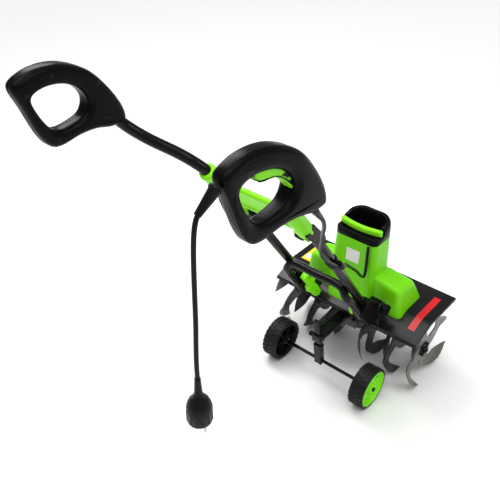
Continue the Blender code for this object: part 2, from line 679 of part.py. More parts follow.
def make_wheel_bracket():
    strut = strut_box("wheel_strut", 0.0090, 0.0045, -0.012, 0.148, black_paint, 0.001)
    yoke = strut_box("yoke", 0.0110, 0.0080, -0.009, 0.062, black_paint, 0.001)
    strut = join(strut, yoke)
    strut = cut(strut, rod("axle_hole", (-0.05, AXLE_Y, WHEEL_RADIUS),
                           (0.05, AXLE_Y, WHEEL_RADIUS), 0.0048, black_paint, 16))
    clamp = strut_box("strut_clamp", 0.0135, 0.0095, 0.076, 0.100, black_paint, 0.0015)
    back = strut_point(0.143)
    arms = box("arm", (STRUT_X - 0.0135, back + 0.0085, 0.136), (STRUT_X + 0.0135, -0.0445, 0.152),
               black_paint, 0.001)
    foot = box("foot", (-0.0170, -0.0448, 0.116), (0.0170, -0.0399, 0.172), black_paint)
    cut(join(clamp, arms, foot),
        strut_box("guide", 0.0094, 0.0049, 0.05, 0.13, black_paint),
        rod("pin_hole", (-0.05, strut_point(0.1425), 0.1425),
            (STRUT_X, strut_point(0.1425), 0.1425), 0.0033, black_paint, 12))
    pin = rod("lock_pin", (-0.0345, strut_point(0.1425), 0.1425),
              (STRUT_X - 0.0093, strut_point(0.1425), 0.1425), 0.0030, bright_steel, 12)
    return strut, pin


# ---- Lower handle frame -----------------------------------------------------------
def tube_point(height):
    """The straight lower tube's middle line, as y at a height."""
    (y1, z1), (y2, z2) = LOWER_TUBE_FOOT, LOWER_TUBE_TOP
    return y1 + (y2 - y1) * (height - z1) / (z2 - z1)


def leg_point(height):
    """The hoop's leg, which lies against the back of the tube, beside its given height."""
    (y1, z1), (y2, z2) = LOWER_TUBE_FOOT, LOWER_TUBE_TOP
    side = Vector((y2 - y1, z2 - z1)).normalized()
    return Vector((tube_point(height), height)) + Vector((-side.y, side.x)) * 0.0212


def make_lower_frame():
    foot, top = LOWER_TUBE_FOOT, LOWER_TUBE_TOP
    right = rod("lower_tube_right", (TUBE_SPOT, *foot), (TUBE_SPOT, *top), TUBE_RADIUS,
                black_paint)
    along = (Vector(top) - Vector(foot)).normalized() * 0.01
    inside = rod("inside", (TUBE_SPOT, *(Vector(foot) - along)), (TUBE_SPOT, *(Vector(top) + along)),
                 0.0092, black_paint, 10)
    right = cut(right, inside, rod("bolt_hole", (0.05, *FOLD_AXIS), (0.15, *FOLD_AXIS), 0.0035,
                           black_paint, 16))
    low, high, bend = leg_point(0.262), leg_point(0.335), leg_point(0.362)
    route = [(-0.090, low.x, low.y), (-0.090, high.x, high.y),
             (-0.084, bend.x, bend.y), (-0.064, -0.2205, 0.3720), (0.0, -0.2205, 0.3720),
             (0.064, -0.2205, 0.3720), (0.084, bend.x, bend.y), (0.090, high.x, high.y),
             (0.090, low.x, low.y)]
    hoop = tube("hoop", route, 0.0100, black_paint, spacing=0.018, resolution=3)
    spaces = [rod("tube_space", (side * TUBE_SPOT, *foot), (side * TUBE_SPOT, *top),
                  TUBE_RADIUS + GAP, black_paint) for side in (-1, 1)]
    return [right, twin(right, "lower_tube_left"), cut(hoop, *spaces)]


def make_foot_socket():
    """Black moulding that holds the tube's foot and reaches forward to the tilt bolt."""
    outline = [(-0.171, 0.270), (-0.150, 0.236), (-0.126, 0.210), (-0.098, 0.2055),
               (-0.076, 0.228), (-0.072, 0.246), (-0.080, 0.260), (-0.098, 0.264),
               (-0.125, 0.287), (-0.148, 0.300)]
    socket = plate("foot_socket_right", [outline], 0.0740, 0.1040, "X", black_plastic, 0.002)
    low = (TUBE_SPOT, tube_point(0.2256) + 0.0001, 0.2255)
    high = (TUBE_SPOT, tube_point(0.300), 0.300)
    bore = rod("socket_bore", low, high, TUBE_RADIUS + GAP, black_plastic)
    leg = rod("leg_bore", (0.090, *leg_point(0.2617)), (0.090, *leg_point(0.320)),
              0.0104, black_plastic, 16)
    bolt = rod("bolt_bore", (0.05, *TILT_AXIS), (0.15, *TILT_AXIS), 0.0045, black_plastic, 16)
    return cut(socket, bore, leg, bolt)


def lobed_knob(name, y, z, low, high, radius, lobes, stem, stem_radius, look):
    """A hand knob with finger lobes, on a stem along X."""
    steps = lobes * 4
    ring = [(y + radius * (1 - 0.07 * math.cos(lobes * math.tau * k / steps))
             * math.cos(math.tau * k / steps),
             z + radius * (1 - 0.07 * math.cos(lobes * math.tau * k / steps))
             * math.sin(math.tau * k / steps)) for k in range(steps)]
    knob = plate(name, [ring], low, high, "X", look)
    return join(knob, rod("stem", (stem[0], y, z), (stem[1], y, z), stem_radius, look, 12))


def make_foot_clips():
    """Bright mouldings on the inner side of each tube's foot, notched, with a screw hole."""
    outline = [(-0.183, 0.305), (-0.166, 0.315), (-0.152, 0.296), (-0.142, 0.294),
               (-0.134, 0.278), (-0.137, 0.270), (-0.118, 0.246), (-0.104, 0.222),
               (-0.112, 0.212), (-0.128, 0.218), (-0.144, 0.240), (-0.153, 0.244),
               (-0.160, 0.262), (-0.158, 0.270)]
    hole = [(-0.122 + 0.0045 * math.cos(math.tau * k / 12),
             0.231 + 0.0045 * math.sin(math.tau * k / 12)) for k in range(12)]
    clip = plate("foot_clip_right", [outline, hole], 0.0585, 0.0735, "X", moulding_green)
    return [clip, twin(clip, "foot_clip_left")]


def make_tilt_knob():
    """Lobed knob on the bolt that clamps the foot socket to the hood's lug."""
    knob = lobed_knob("tilt_knob_right", *TILT_AXIS, 0.1125, 0.1265, 0.0140, 5,
                      (0.0715, 0.1130), 0.0042, black_plastic)
    collar = rod("collar", (0.1083, *TILT_AXIS), (0.1130, *TILT_AXIS), 0.0075, black_plastic, 12)
    return join(knob, collar, rod("nut", (0.0690, *TILT_AXIS), (0.0725, *TILT_AXIS), 0.0070,
                                  black_plastic, 6))


def make_fold_knob():
    """Lobed knob on the inner end of the bolt through the fold joint."""
    knob = lobed_knob("fold_knob_right", *FOLD_AXIS, 0.0500, 0.0660, 0.0165, 4,
                      (0.0655, 0.1075), 0.0032, black_plastic)
    collar = rod("collar", (0.0655, *FOLD_AXIS), (0.0735, *FOLD_AXIS), 0.0080, black_plastic, 12)
    return join(knob, collar, rod("nut", (0.1066, *FOLD_AXIS), (0.1110, *FOLD_AXIS), 0.0062,
                                  black_plastic, 6))


# ---- Fold joint -------------------------------------------------------------------
SLEEVE_TOP = (-0.476, 0.7203)
SLEEVE_FOOT = (-0.4005, 0.6244)


def make_brace():
    """Bright H moulding: a sleeve on each upper tube, ears for the fold bolts, a web between."""
    top, foot = Vector(SLEEVE_TOP), Vector(SLEEVE_FOOT)
    sleeve = rod("sleeve", (0.090, *foot), (0.090, *top), 0.0165, moulding_green)
    ears = []
    along = (foot - top).normalized()
    across = Vector((-along.y, along.x))
    start = foot - along * 0.012
    pivot = Vector(FOLD_AXIS)
    tip = [pivot + 0.013 * (math.cos(a) * along + math.sin(a) * across)
           for a in (math.radians(90 - 30 * k) for k in range(7))]
    outline = [start + 0.014 * across] + tip + [start - 0.014 * across]
    for low, high in ((0.0738, 0.0790), (0.1010, 0.1062)):
        ears.append(plate("ear", [outline], low, high, "X", moulding_green))
    half = join(sleeve, *ears)
    other = twin(half, "other")
    web_outline = [(-0.432, 0.6430), (-0.4265, 0.6490), (-0.4250, 0.6640), (-0.4340, 0.6800),
                   (-0.4470, 0.6960), (-0.4560, 0.6985), (-0.4590, 0.6940), (-0.4520, 0.6800),
                   (-0.4400, 0.6600)]
    web = plate("fold_brace", [web_outline], -0.0800, 0.0800, "X", moulding_green, 0.0015)
    brace = join(web, half, other)
    cuts = []
    for side in (-1, 1):
        route = [(side * x, y, z) for x, y, z in UPPER_TUBE]
        cuts.append(tube("sleeve_bore", route, 0.0113, moulding_green, 0.018, 3))
        cuts.append(rod("ear_bore", (side * 0.05, *FOLD_AXIS), (side * 0.15, *FOLD_AXIS), 0.0035,
                        moulding_green, 16))
    return cut(brace, *cuts)


def longer(route):
    """A route carried on a little way past both its ends."""
    first, second, before, last = (Vector(route[k]) for k in (0, 1, -2, -1))
    start = first + (first - second).normalized() * 0.008
    end = last + (last - before).normalized() * 0.008
    return [tuple(start)] + route + [tuple(end)]


def make_upper_tube():
    solid = tube("upper_tube_right", UPPER_TUBE, 0.0110, black_paint, 0.018, 3)
    return cut(solid, tube("inside", longer(UPPER_TUBE), 0.0090, black_paint, 0.030, 2))


# ---- Handles ----------------------------------------------------------------------
def make_handle(side_name):
    """One D handle as two screwed shells round the end of its tube."""
    outline = smooth_loop(HANDLE_OUTLINE, 2)
    hole = smooth_loop(HANDLE_HOLE, 2)
    spot_x, half = HANDLE_SPOT, HANDLE_HALF_WIDTH
    shells = []
    for name, low, high in (("outer", spot_x + GAP / 2, spot_x + half + 0.01),
                            ("inner", spot_x - half - 0.01, spot_x - GAP / 2)):
        whole = plate(f"handle_{side_name}_{name}", [outline, hole], spot_x - half,
                      spot_x + half, "X", black_plastic, 0.0075)
        room = plate("room", [inset(smooth_loop(HANDLE_OUTLINE, 1), 0.0045),
                              inset(smooth_loop(HANDLE_HOLE, 1), -0.0045)],
                     spot_x - 0.0130, spot_x + 0.0130, "X", black_plastic)
        shell = combine(whole, "INTERSECT", box("half_space", (low, -0.9, 0.7),
                                                (high, -0.4, 1.1), black_plastic))
        bore = tube("tube_bore", UPPER_TUBE[:4], 0.0113, black_plastic, 0.018, 3)
        shells.append(cut(shell, room, bore))
    return shells


def make_switch_slot(shell):
    """Open the shell's hole wall for the trigger's whole swing."""
    outline = inset([Vector(p) for p in TRIGGER_OUTER + TRIGGER_INNER], -0.0012)
    for angle in (0, 3, 6):
        cutter = plate("slot", [outline], HANDLE_SPOT - 0.0088, HANDLE_SPOT + 0.0088, "X",
                       black_plastic)
        cutter = baked(turn_about(cutter, *TRIGGER_AXIS, math.radians(angle)))
        shell = cut(shell, cutter)
    return shell


def make_trigger():
    return plate("trigger", [TRIGGER_OUTER + TRIGGER_INNER], HANDLE_SPOT - 0.0080,
                 HANDLE_SPOT + 0.0080, "X", moulding_green, 0.001)


LOCK_SPOT = (-0.657, 0.9330)


def make_lock_button():
    """Round button through the inner shell, with a collar that keeps it in."""
    wall = HANDLE_SPOT - HANDLE_HALF_WIDTH
    button = rod("lock_button", (wall - 0.0035, *LOCK_SPOT), (wall + 0.0090, *LOCK_SPOT), 0.0055,
                 moulding_green)
    collar = rod("collar", (wall + 0.0074, *LOCK_SPOT), (wall + 0.0095, *LOCK_SPOT), 0.0072,
                 moulding_green)
    return join(button, collar)


def make_switch():
    made = box("switch_module", (HANDLE_SPOT - 0.0090, -0.006, -0.005),
               (HANDLE_SPOT + 0.0090, 0.006, 0.005), black_plastic)
    made = turn_about(made, 0, 0, math.radians(-50))
    made.matrix_world = Matrix.Translation((0, -0.6165, 0.9045)) @ made.matrix_world
    return baked(made)


# ---- Cords ------------------------------------------------------------------------
def make_mains_relief():
    """Tapered rubber strain relief where the mains cord leaves the handle."""
    collar = rod("mains_relief", (HANDLE_SPOT, -0.7735, 0.9345), (HANDLE_SPOT, -0.7780, 0.9320),
                 0.0098, black_rubber, 20)
    cone = rod("cone", (HANDLE_SPOT, -0.7770, 0.9326), (HANDLE_SPOT, -0.8050, 0.9138), 0.0085,
               black_rubber, 20, end_radius=0.0050)
    return join(collar, cone)


def make_plug():
    """Moulded mains plug that hangs at the cord's end."""
    x, y = HANDLE_SPOT, -0.8238
    profile = [(0.0, 0.0), (0.0185, 0.0), (0.0190, -0.0020), (0.0190, -0.0300), (0.0150, -0.0420),
               (0.0095, -0.0480), (0.0060, -0.0560), (0.0048, -0.0850), (0.0, -0.0850)]
    plug = turned("mains_plug", profile, (0, 0, 0), "Z", black_rubber, 20)
    pins = [rod("pin", (side * 0.0095, 0, -0.001), (side * 0.0095, 0, 0.0190), 0.0024,
                bright_steel, 10) for side in (-1, 1)]
    plug = join(plug, *pins)
    turn = Matrix.Translation((x, y + SHAFT_Y, 0.5700)) @ Matrix.Rotation(math.pi, 4, "X")
    plug.matrix_world = turn @ Matrix.Translation((0, -SHAFT_Y, 0)) @ plug.matrix_world
    return baked(plug)


def make_cable_relief():
    """Strain relief under the right handle's front, for the lead to the motor."""
    base = rod("cable_relief", (0.2290, -0.5905, 0.8250), (0.2286, -0.5770, 0.8090), 0.0060,
               black_rubber)
    cone = rod("cone", (0.2286, -0.5775, 0.8096), (0.2275, -0.5600, 0.7895), 0.0056,
               black_rubber, 14, end_radius=0.0040)
    space = plate("handle_space", [inset(smooth_loop(HANDLE_OUTLINE, 2), -GAP)],
                  HANDLE_SPOT - 0.03, HANDLE_SPOT + 0.03, "X", black_rubber)
    return cut(join(base, cone), space)


def make_cable_clip():
    """Clip that holds the motor lead to the right lower tube."""
    height = 0.4985
    y = tube_point(height)
    side = Vector((LOWER_TUBE_TOP[0] - LOWER_TUBE_FOOT[0],
                   LOWER_TUBE_TOP[1] - LOWER_TUBE_FOOT[1])).normalized()
    low = (TUBE_SPOT, y - side.x * 0.010, height - side.y * 0.010)
    high = (TUBE_SPOT, y + side.x * 0.010, height + side.y * 0.010)
    clip = rod("cable_clip", low, high, TUBE_RADIUS + 0.0030, black_plastic)
    nose = rod("nose", (0.1105, y + 0.0060, height - 0.0072), (0.1105, y - 0.0080, height + 0.0078),
               0.0090, black_plastic)
    bore = rod("tube_hole", (TUBE_SPOT, y - side.x * 0.03, height - side.y * 0.03),
               (TUBE_SPOT, y + side.x * 0.03, height + side.y * 0.03), TUBE_RADIUS + GAP,
               black_plastic)
    lead = tube("lead_hole", CABLE_UPPER[-2:] + CABLE_LOWER[:2], 0.0045, black_plastic)
    return cut(join(clip, nose), bore, lead)


# ---- Build ------------------------------------------------------------------------
def pivot(name, x, y, z, pieces):
    """An empty on a joint's axis that carries the pieces which move with it."""
    empty = bpy.data.objects.new(name, None)
    empty.location = spot(x, y, z)
    tiller.objects.link(empty)
    bpy.context.view_layer.update()
    for piece in pieces:
        piece.parent = empty
        piece.matrix_parent_inverse = empty.matrix_world.inverted()
    return empty


def main():
    make_hood()
    make_motor_housing()
    make_motor_cap()
    make_carry_grip()
    make_motor_can()
    make_motor_bearings()
    make_gear_case()
    make_shaft_bushes()

    rotor = [make_armature_core(), make_fan(), make_worm()]
    pivot("armature_axis", 0, WORM_Y, 0.1, rotor)
    pivot("tine_axis", 0, 0, SHAFT_Z, make_rotor())

    wheel, cover, wheel_left, cover_left = make_wheel()
    right_axis = pivot("wheel_axis_right", WHEEL_SPOT, AXLE_Y, WHEEL_RADIUS, [wheel, cover])
    left_axis = pivot("wheel_axis_left", -WHEEL_SPOT, AXLE_Y, WHEEL_RADIUS,
                      [wheel_left, cover_left])
    strut, pin = make_wheel_bracket()
    pivot("strut_slide", STRUT_X, AXLE_Y, WHEEL_RADIUS,
          [strut, make_axle(), right_axis, left_axis])
    pivot("lock_pin_axis", STRUT_X, strut_point(0.1425), 0.1425, [pin])

    socket = make_foot_socket()
    frame = [socket, twin(socket, "foot_socket_left"), *make_foot_clips(), *make_lower_frame(),
             make_cable_clip()]
    frame.append(tube("motor_cable_lower", CABLE_LOWER, 0.0035, black_rubber, 0.014))
    knob = make_tilt_knob()
    frame.append(pivot("tilt_knob_axis_right", 0.118, *TILT_AXIS, [knob]))
    frame.append(pivot("tilt_knob_axis_left", -0.118, *TILT_AXIS, [twin(knob, "tilt_knob_left")]))
    pivot("tilt_axis", 0, *TILT_AXIS, frame)

    brace = make_brace()
    upper = make_upper_tube()
    grips = [make_switch_slot(shell) for shell in make_handle("right")]
    button_hole = rod("button_hole", (HANDLE_SPOT - 0.03, *LOCK_SPOT),
                      (HANDLE_SPOT - 0.012, *LOCK_SPOT), 0.0058, black_plastic)
    grips[1] = cut(grips[1], button_hole)
    for shell, name in zip(make_handle("left_mirror"), ("handle_left_outer", "handle_left_inner")):
        grips.append(twin(shell, name))
        bpy.data.objects.remove(shell)
    head = grips + [brace, upper, twin(upper, "upper_tube_left"), make_switch(),
                    make_mains_relief(), make_cable_relief(), make_plug()]
    head.append(tube("mains_cord", MAINS_CORD, 0.0035, black_rubber, 0.012))
    head.append(tube("motor_cable_upper", CABLE_UPPER, 0.0035, black_rubber, 0.014))
    head.append(pivot("trigger_axis", HANDLE_SPOT, *TRIGGER_AXIS, [make_trigger()]))
    head.append(pivot("lock_button_axis", 0.1976, *LOCK_SPOT, [make_lock_button()]))
    knob = make_fold_knob()
    head.append(pivot("fold_knob_axis_right", 0.058, *FOLD_AXIS, [knob]))
    head.append(pivot("fold_knob_axis_left", -0.058, *FOLD_AXIS, [twin(knob, "fold_knob_left")]))
    pivot("fold_axis", 0, *FOLD_AXIS, head)


main()
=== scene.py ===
"""Looks for the electric tiller: smooth shapes, surfaces, stickers, floor, light and camera."""

import json
import math

import bmesh
import bpy
from mathutils import Matrix, Vector


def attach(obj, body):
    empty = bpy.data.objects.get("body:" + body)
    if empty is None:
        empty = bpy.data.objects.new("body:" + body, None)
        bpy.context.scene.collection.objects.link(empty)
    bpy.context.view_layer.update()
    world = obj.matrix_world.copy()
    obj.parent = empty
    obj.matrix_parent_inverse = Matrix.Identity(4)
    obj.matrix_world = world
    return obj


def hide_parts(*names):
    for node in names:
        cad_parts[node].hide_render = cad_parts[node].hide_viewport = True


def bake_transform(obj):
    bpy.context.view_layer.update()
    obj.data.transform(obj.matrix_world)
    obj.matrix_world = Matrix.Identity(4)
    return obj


scene = bpy.context.scene
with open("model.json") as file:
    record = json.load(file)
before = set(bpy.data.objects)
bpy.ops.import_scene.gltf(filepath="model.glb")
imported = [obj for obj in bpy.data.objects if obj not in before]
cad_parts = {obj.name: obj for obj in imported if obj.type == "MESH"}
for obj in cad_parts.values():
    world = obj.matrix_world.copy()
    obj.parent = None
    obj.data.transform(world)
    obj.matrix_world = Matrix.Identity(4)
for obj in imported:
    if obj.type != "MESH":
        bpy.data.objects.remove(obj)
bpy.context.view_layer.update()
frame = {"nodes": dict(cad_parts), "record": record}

# ---- Sizes, shared with the CAD ----
SHAFT_Y, SHAFT_Z = 0.3305, 0.1005
TINE_RADIUS = 0.1005
STAR_SPOTS = (0.052, 0.124, 0.196)
HOOD_HALF_WIDTH, HOOD_TOP = 0.215, 0.212
HOOD_FRONT, HOOD_BEND, HOOD_REAR = 0.107, -0.018, -0.090
AXLE_Y, WHEEL_RADIUS, WHEEL_SPOT = -0.166, 0.0556, 0.137
TUBE_SPOT, TUBE_RADIUS = 0.090, 0.0105
LOWER_TUBE_TOP, LOWER_TUBE_FOOT = (-0.380, 0.6076), (-0.1075, 0.2256)
FOLD_AXIS, TILT_AXIS = (-0.3685, 0.5914), (-0.086, 0.244)
TRIGGER_AXIS = (-0.704, 0.922)
SLEEVE_TOP, SLEEVE_FOOT = (-0.476, 0.7203), (-0.4005, 0.6244)
HANDLE_SPOT, HANDLE_HALF = 0.2176, 0.020
HANDLE_OUTLINE = [
    (-0.768, 0.941), (-0.742, 0.957), (-0.705, 0.960), (-0.665, 0.951), (-0.622, 0.927),
    (-0.586, 0.886), (-0.562, 0.845), (-0.560, 0.818), (-0.590, 0.815), (-0.625, 0.823),
    (-0.660, 0.824), (-0.697, 0.819), (-0.718, 0.825), (-0.735, 0.850), (-0.754, 0.900)]
HANDLE_HOLE = [
    (-0.739, 0.913), (-0.715, 0.925), (-0.678, 0.921), (-0.650, 0.905), (-0.634, 0.880),
    (-0.642, 0.858), (-0.668, 0.850), (-0.702, 0.850), (-0.722, 0.870)]
TRIGGER_OUTER = [(-0.710, 0.929), (-0.676, 0.928), (-0.648, 0.915), (-0.628, 0.893),
                 (-0.624, 0.876)]
TRIGGER_INNER = [(-0.631, 0.871), (-0.640, 0.880), (-0.656, 0.897), (-0.675, 0.908),
                 (-0.704, 0.915)]
LOCK_SPOT = (-0.657, 0.9330)
HANDLE_SCREWS = [(-0.7500, 0.9260), (-0.7000, 0.9435), (-0.6130, 0.9050), (-0.5860, 0.8740),
                 (-0.6060, 0.8400), (-0.7060, 0.8370)]
STRUT_X, STRUT_SLOPE, LOCK_HEIGHT = -0.009, 0.15, 0.1425
CORD_RADIUS = 0.0035
UPPER_TUBE = [
    (0.2176, -0.600, 0.860), (0.2176, -0.583, 0.836), (0.209, -0.558, 0.805),
    (0.180, -0.533, 0.778), (0.135, -0.503, 0.752), (0.103, -0.486, 0.733),
    (0.0902, -0.470, 0.7125), (0.090, -0.430, 0.662), (0.090, -0.407, 0.633)]
MAINS_CORD = [
    (0.2176, -0.8066, 0.9127), (0.2176, -0.8112, 0.905), (0.2176, -0.8150, 0.890),
    (0.2176, -0.8175, 0.865), (0.2176, -0.8190, 0.830), (0.2176, -0.8200, 0.790),
    (0.2176, -0.8210, 0.750), (0.2176, -0.8230, 0.710), (0.2176, -0.8240, 0.680),
    (0.2176, -0.8238, 0.6553)]
CABLE_UPPER = [
    (0.2275, -0.5595, 0.7889), (0.2240, -0.5481, 0.7751), (0.2145, -0.5314, 0.7516),
    (0.1892, -0.4960, 0.7087), (0.1680, -0.4650, 0.6670), (0.1500, -0.4390, 0.6290),
    (0.1330, -0.4060, 0.5890), (0.1210, -0.3660, 0.5480), (0.1130, -0.3200, 0.5080),
    (0.1105, -0.3030, 0.4950)]
CABLE_LOWER = [
    (0.1105, -0.3030, 0.4950), (0.1100, -0.2985, 0.4905), (0.1020, -0.2700, 0.4720),
    (0.0790, -0.2300, 0.4450), (0.0640, -0.1850, 0.4050), (0.0570, -0.1400, 0.3630),
    (0.0510, -0.1050, 0.3250), (0.0470, -0.0830, 0.3080), (0.0450, -0.0745, 0.3180),
    (0.0440, -0.0720, 0.3440), (0.0430, -0.0705, 0.3700), (0.0425, -0.0700, 0.3860)]


def spot(x, y, z):
    """A point, from the ground point below the middle of the tine shaft."""
    return Vector((x, y + SHAFT_Y, z))


def hood_height(y):
    drop = max(0.0, (HOOD_BEND - y) / (HOOD_BEND - HOOD_REAR))
    return HOOD_TOP - 0.028 * drop ** 1.25


# ---- Surfaces ----
def surface(name, colour, rough, metal=0.0, grain=0.0, size=900.0, vary=0.08, streak=None,
            gloss=0.5):
    """A Principled material with uneven colour and shine, and a fine grain."""
    made = bpy.data.materials.new(name)
    made.use_nodes = True
    nodes, links = made.node_tree.nodes, made.node_tree.links
    shader = nodes["Principled BSDF"]
    shader.inputs["Metallic"].default_value = metal
    shader.inputs["Specular IOR Level"].default_value = gloss
    source = nodes.new("ShaderNodeTexCoord").outputs["Object"]
    if streak:
        stretch = nodes.new("ShaderNodeMapping")
        stretch.inputs["Scale"].default_value = streak
        links.new(source, stretch.inputs["Vector"])
        source = stretch.outputs["Vector"]
    cloud = nodes.new("ShaderNodeTexNoise")
    cloud.inputs["Scale"].default_value = 9.0
    cloud.inputs["Detail"].default_value = 5.0
    links.new(source, cloud.inputs["Vector"])
    shades = nodes.new("ShaderNodeValToRGB")
    for end, place, share in zip(shades.color_ramp.elements, (0.3, 0.7), (1 - vary, 1 + vary)):
        end.position = place
        end.color = (*(min(1, c * share) for c in colour), 1)
    links.new(cloud.outputs["Fac"], shades.inputs["Fac"])
    links.new(shades.outputs["Color"], shader.inputs["Base Color"])
    shine = nodes.new("ShaderNodeMapRange")
    shine.inputs["To Min"].default_value = max(0.02, rough - 0.06)
    shine.inputs["To Max"].default_value = min(1.0, rough + 0.08)
    links.new(cloud.outputs["Fac"], shine.inputs["Value"])
    links.new(shine.outputs["Result"], shader.inputs["Roughness"])
    if grain:
        fine = nodes.new("ShaderNodeTexNoise")
        fine.inputs["Scale"].default_value = size
        fine.inputs["Detail"].default_value = 3.0
        links.new(source, fine.inputs["Vector"])
        bump = nodes.new("ShaderNodeBump")
        bump.inputs["Strength"].default_value = grain
        bump.inputs["Distance"].default_value = 0.0003
        links.new(fine.outputs["Fac"], bump.inputs["Height"])
        links.new(bump.outputs["Normal"], shader.inputs["Normal"])
    return made


LIME = (0.185, 0.700, 0.002)
BRIGHT = (0.240, 0.830, 0.004)
BLACK = (0.0035, 0.0035, 0.0039)
lime = surface("lime housing plastic", LIME, 0.38, grain=0.12, vary=0.04, gloss=0.25)
bright = surface("bright lime plastic", BRIGHT, 0.38, grain=0.10, vary=0.05, gloss=0.25)
black = surface("black grained plastic", BLACK, 0.27, grain=0.20, size=1300, gloss=0.07)
paint = surface("black powder coat", BLACK, 0.20, grain=0.05, size=500, gloss=0.20)
hood_paint = surface("satin black coat", (0.0050, 0.0050, 0.0056), 0.24, grain=0.10, size=700,
                     gloss=0.26)
steel = surface("tine steel", (0.170, 0.162, 0.155), 0.38, metal=0.8, grain=0.15, size=120,
                vary=0.25)
# Painted shade: a darker copy of the tine steel, for the inner stars that sit in the hood's
# shadow.
shaded_tine_steel = surface("shaded tine steel", (0.040, 0.036, 0.034), 0.42, metal=0.6, grain=0.15,
                     size=120, vary=0.30)
bright_metal = surface("bright steel", (0.60, 0.60, 0.61), 0.26, metal=1.0, grain=0.08,
                       size=260, streak=(1, 6, 1))
cast = surface("cast alloy", (0.12, 0.12, 0.13), 0.5, metal=1.0, grain=0.35, size=400)
copper = surface("copper windings", (0.62, 0.27, 0.11), 0.35, metal=1.0, grain=0.2, size=300,
                 streak=(8, 8, 1))
nylon = surface("natural nylon", (0.72, 0.69, 0.58), 0.45, grain=0.05)
rubber = surface("cord rubber", (0.0045, 0.0045, 0.0050), 0.34, grain=0.15, size=700,
                 gloss=0.16)
tread = surface("tyre black", (0.0075, 0.0075, 0.0078), 0.50, grain=0.30, size=500, gloss=0.20)
white = surface("label white", (0.84, 0.84, 0.82), 0.42, vary=0.02)
yellow = surface("sticker yellow", (0.86, 0.62, 0.01), 0.38, vary=0.03)
red = surface("sticker red", (0.56, 0.006, 0.008), 0.32, vary=0.03)
LOOKS = {"lime_plastic": lime, "bright_lime_plastic": bright, "black_plastic": black,
         "black_tube_paint": paint, "hood_black": hood_paint, "tine_steel": steel,
         "bright_steel": bright_metal, "gear_case_alloy": cast, "rubber": rubber,
         "wheel_black": tread, "copper_winding": copper, "gear_nylon": nylon,
         "motor_steel": cast}
SLOT_OF = {part["node"]: part["material_slot"] for part in frame["record"]["subparts"]}
for name, node in frame["nodes"].items():
    node.data.materials.clear()
    node.data.materials.append(LOOKS[SLOT_OF[name]])


# ---- Tools ----
def add(name, data, look):
    """A new object; _skin is added where the name is already a CAD node's."""
    name = name.replace(" ", "_")
    made = bpy.data.objects.new(name + "_skin" if name in frame["nodes"] else name, data)
    data.materials.clear()
    data.materials.append(look)
    scene.collection.objects.link(made)
    return made


def mesh_of(name, work):
    mesh = bpy.data.meshes.new(name)
    work.to_mesh(mesh)
    work.free()
    return mesh


def baked(source, angle=38):
    """Swap an object for a mesh of its evaluated shape, welded, with smooth shading."""
    bpy.context.view_layer.update()
    evaluated = source.evaluated_get(bpy.context.evaluated_depsgraph_get())
    mesh = bpy.data.meshes.new_from_object(evaluated)
    work = bmesh.new()
    work.from_mesh(mesh)
    bmesh.ops.transform(work, matrix=source.matrix_world, verts=work.verts)
    bmesh.ops.remove_doubles(work, verts=work.verts, dist=0.00002)
    bmesh.ops.recalc_face_normals(work, faces=work.faces)
    work.to_mesh(mesh)
    work.free()
    mesh.shade_smooth()
    mesh.set_sharp_from_angle(angle=math.radians(angle))
    name, look = source.name, source.data.materials[0]
    bpy.data.objects.remove(source)
    return add(name, mesh, look)


def from_bmesh(name, work, look):
    return baked(add(name, mesh_of(name, work), look))


def rounded(solid, width, segments=3, angle=35):
    """Round a solid's sharp edges."""
    bevel = solid.modifiers.new("Bevel", "BEVEL")
    bevel.width = width
    bevel.segments = segments
    bevel.limit_method = "ANGLE"
    bevel.angle_limit = math.radians(angle)
    bevel.harden_normals = True
    return baked(solid)


def box(name, low, high, look, bevel=0.0, segments=3):
    low, high = spot(*low), spot(*high)
    work = bmesh.new()
    bmesh.ops.create_cube(work, size=1.0)
    bmesh.ops.scale(work, vec=high - low, verts=work.verts)
    bmesh.ops.translate(work, vec=(low + high) / 2, verts=work.verts)
    if bevel:
        bmesh.ops.bevel(work, geom=list(work.edges), offset=bevel, segments=segments,
                        profile=0.5, affect="EDGES")
    return from_bmesh(name, work, look)


def rod(name, start, end, radius, look, sides=40, end_radius=None, bevel=0.0):
    """A cylinder or cone between two points."""
    start, end = spot(*start), spot(*end)
    run = end - start
    work = bmesh.new()
    bmesh.ops.create_cone(work, cap_ends=True, segments=sides, radius1=radius,
                          radius2=radius if end_radius is None else end_radius,
                          depth=run.length)
    turn = run.to_track_quat("Z", "Y").to_matrix().to_4x4()
    bmesh.ops.transform(work, matrix=Matrix.Translation((start + end) / 2) @ turn,
                        verts=work.verts)
    made = from_bmesh(name, work, look)
    return rounded(made, bevel, 3) if bevel else made


def x_rod(name, low, high, place, radius, look, sides=40, bevel=0.0):
    """A cylinder along X, from low to high, about the y and z of place."""
    return rod(name, (low, *place), (high, *place), radius, look, sides, bevel=bevel)


def between(before, start, end, after, steps):
    """Points of a smooth curve from start up to end, which is left out."""
    points = []
    for t in (step / steps for step in range(steps)):
        points.append(0.5 * (2 * start + (end - before) * t
                             + (2 * before - 5 * start + 4 * end - after) * t ** 2
                             + (3 * start - before - 3 * end + after) * t ** 3))
    return points


def smooth_path(points, steps):
    """A smooth open line through 3D points."""
    knots = [Vector(p) for p in points]
    knots = [2 * knots[0] - knots[1]] + knots + [2 * knots[-1] - knots[-2]]
    line = []
    for four in zip(knots, knots[1:], knots[2:], knots[3:]):
        line += between(*four, steps)
    return line + [knots[-2]]


def smooth_loop(points, steps):
    """A closed smooth outline through 2D points."""
    knots, loop = [Vector(p) for p in points], []
    for four in zip(knots[-1:] + knots[:-1], knots, knots[1:] + knots[:1], knots[2:] + knots[:2]):
        loop += between(*four, steps)
    return loop


def ray(angle, length=1.0):
    """The 2D point at an angle and a length from the origin."""
    return Vector((length * math.cos(angle), length * math.sin(angle)))


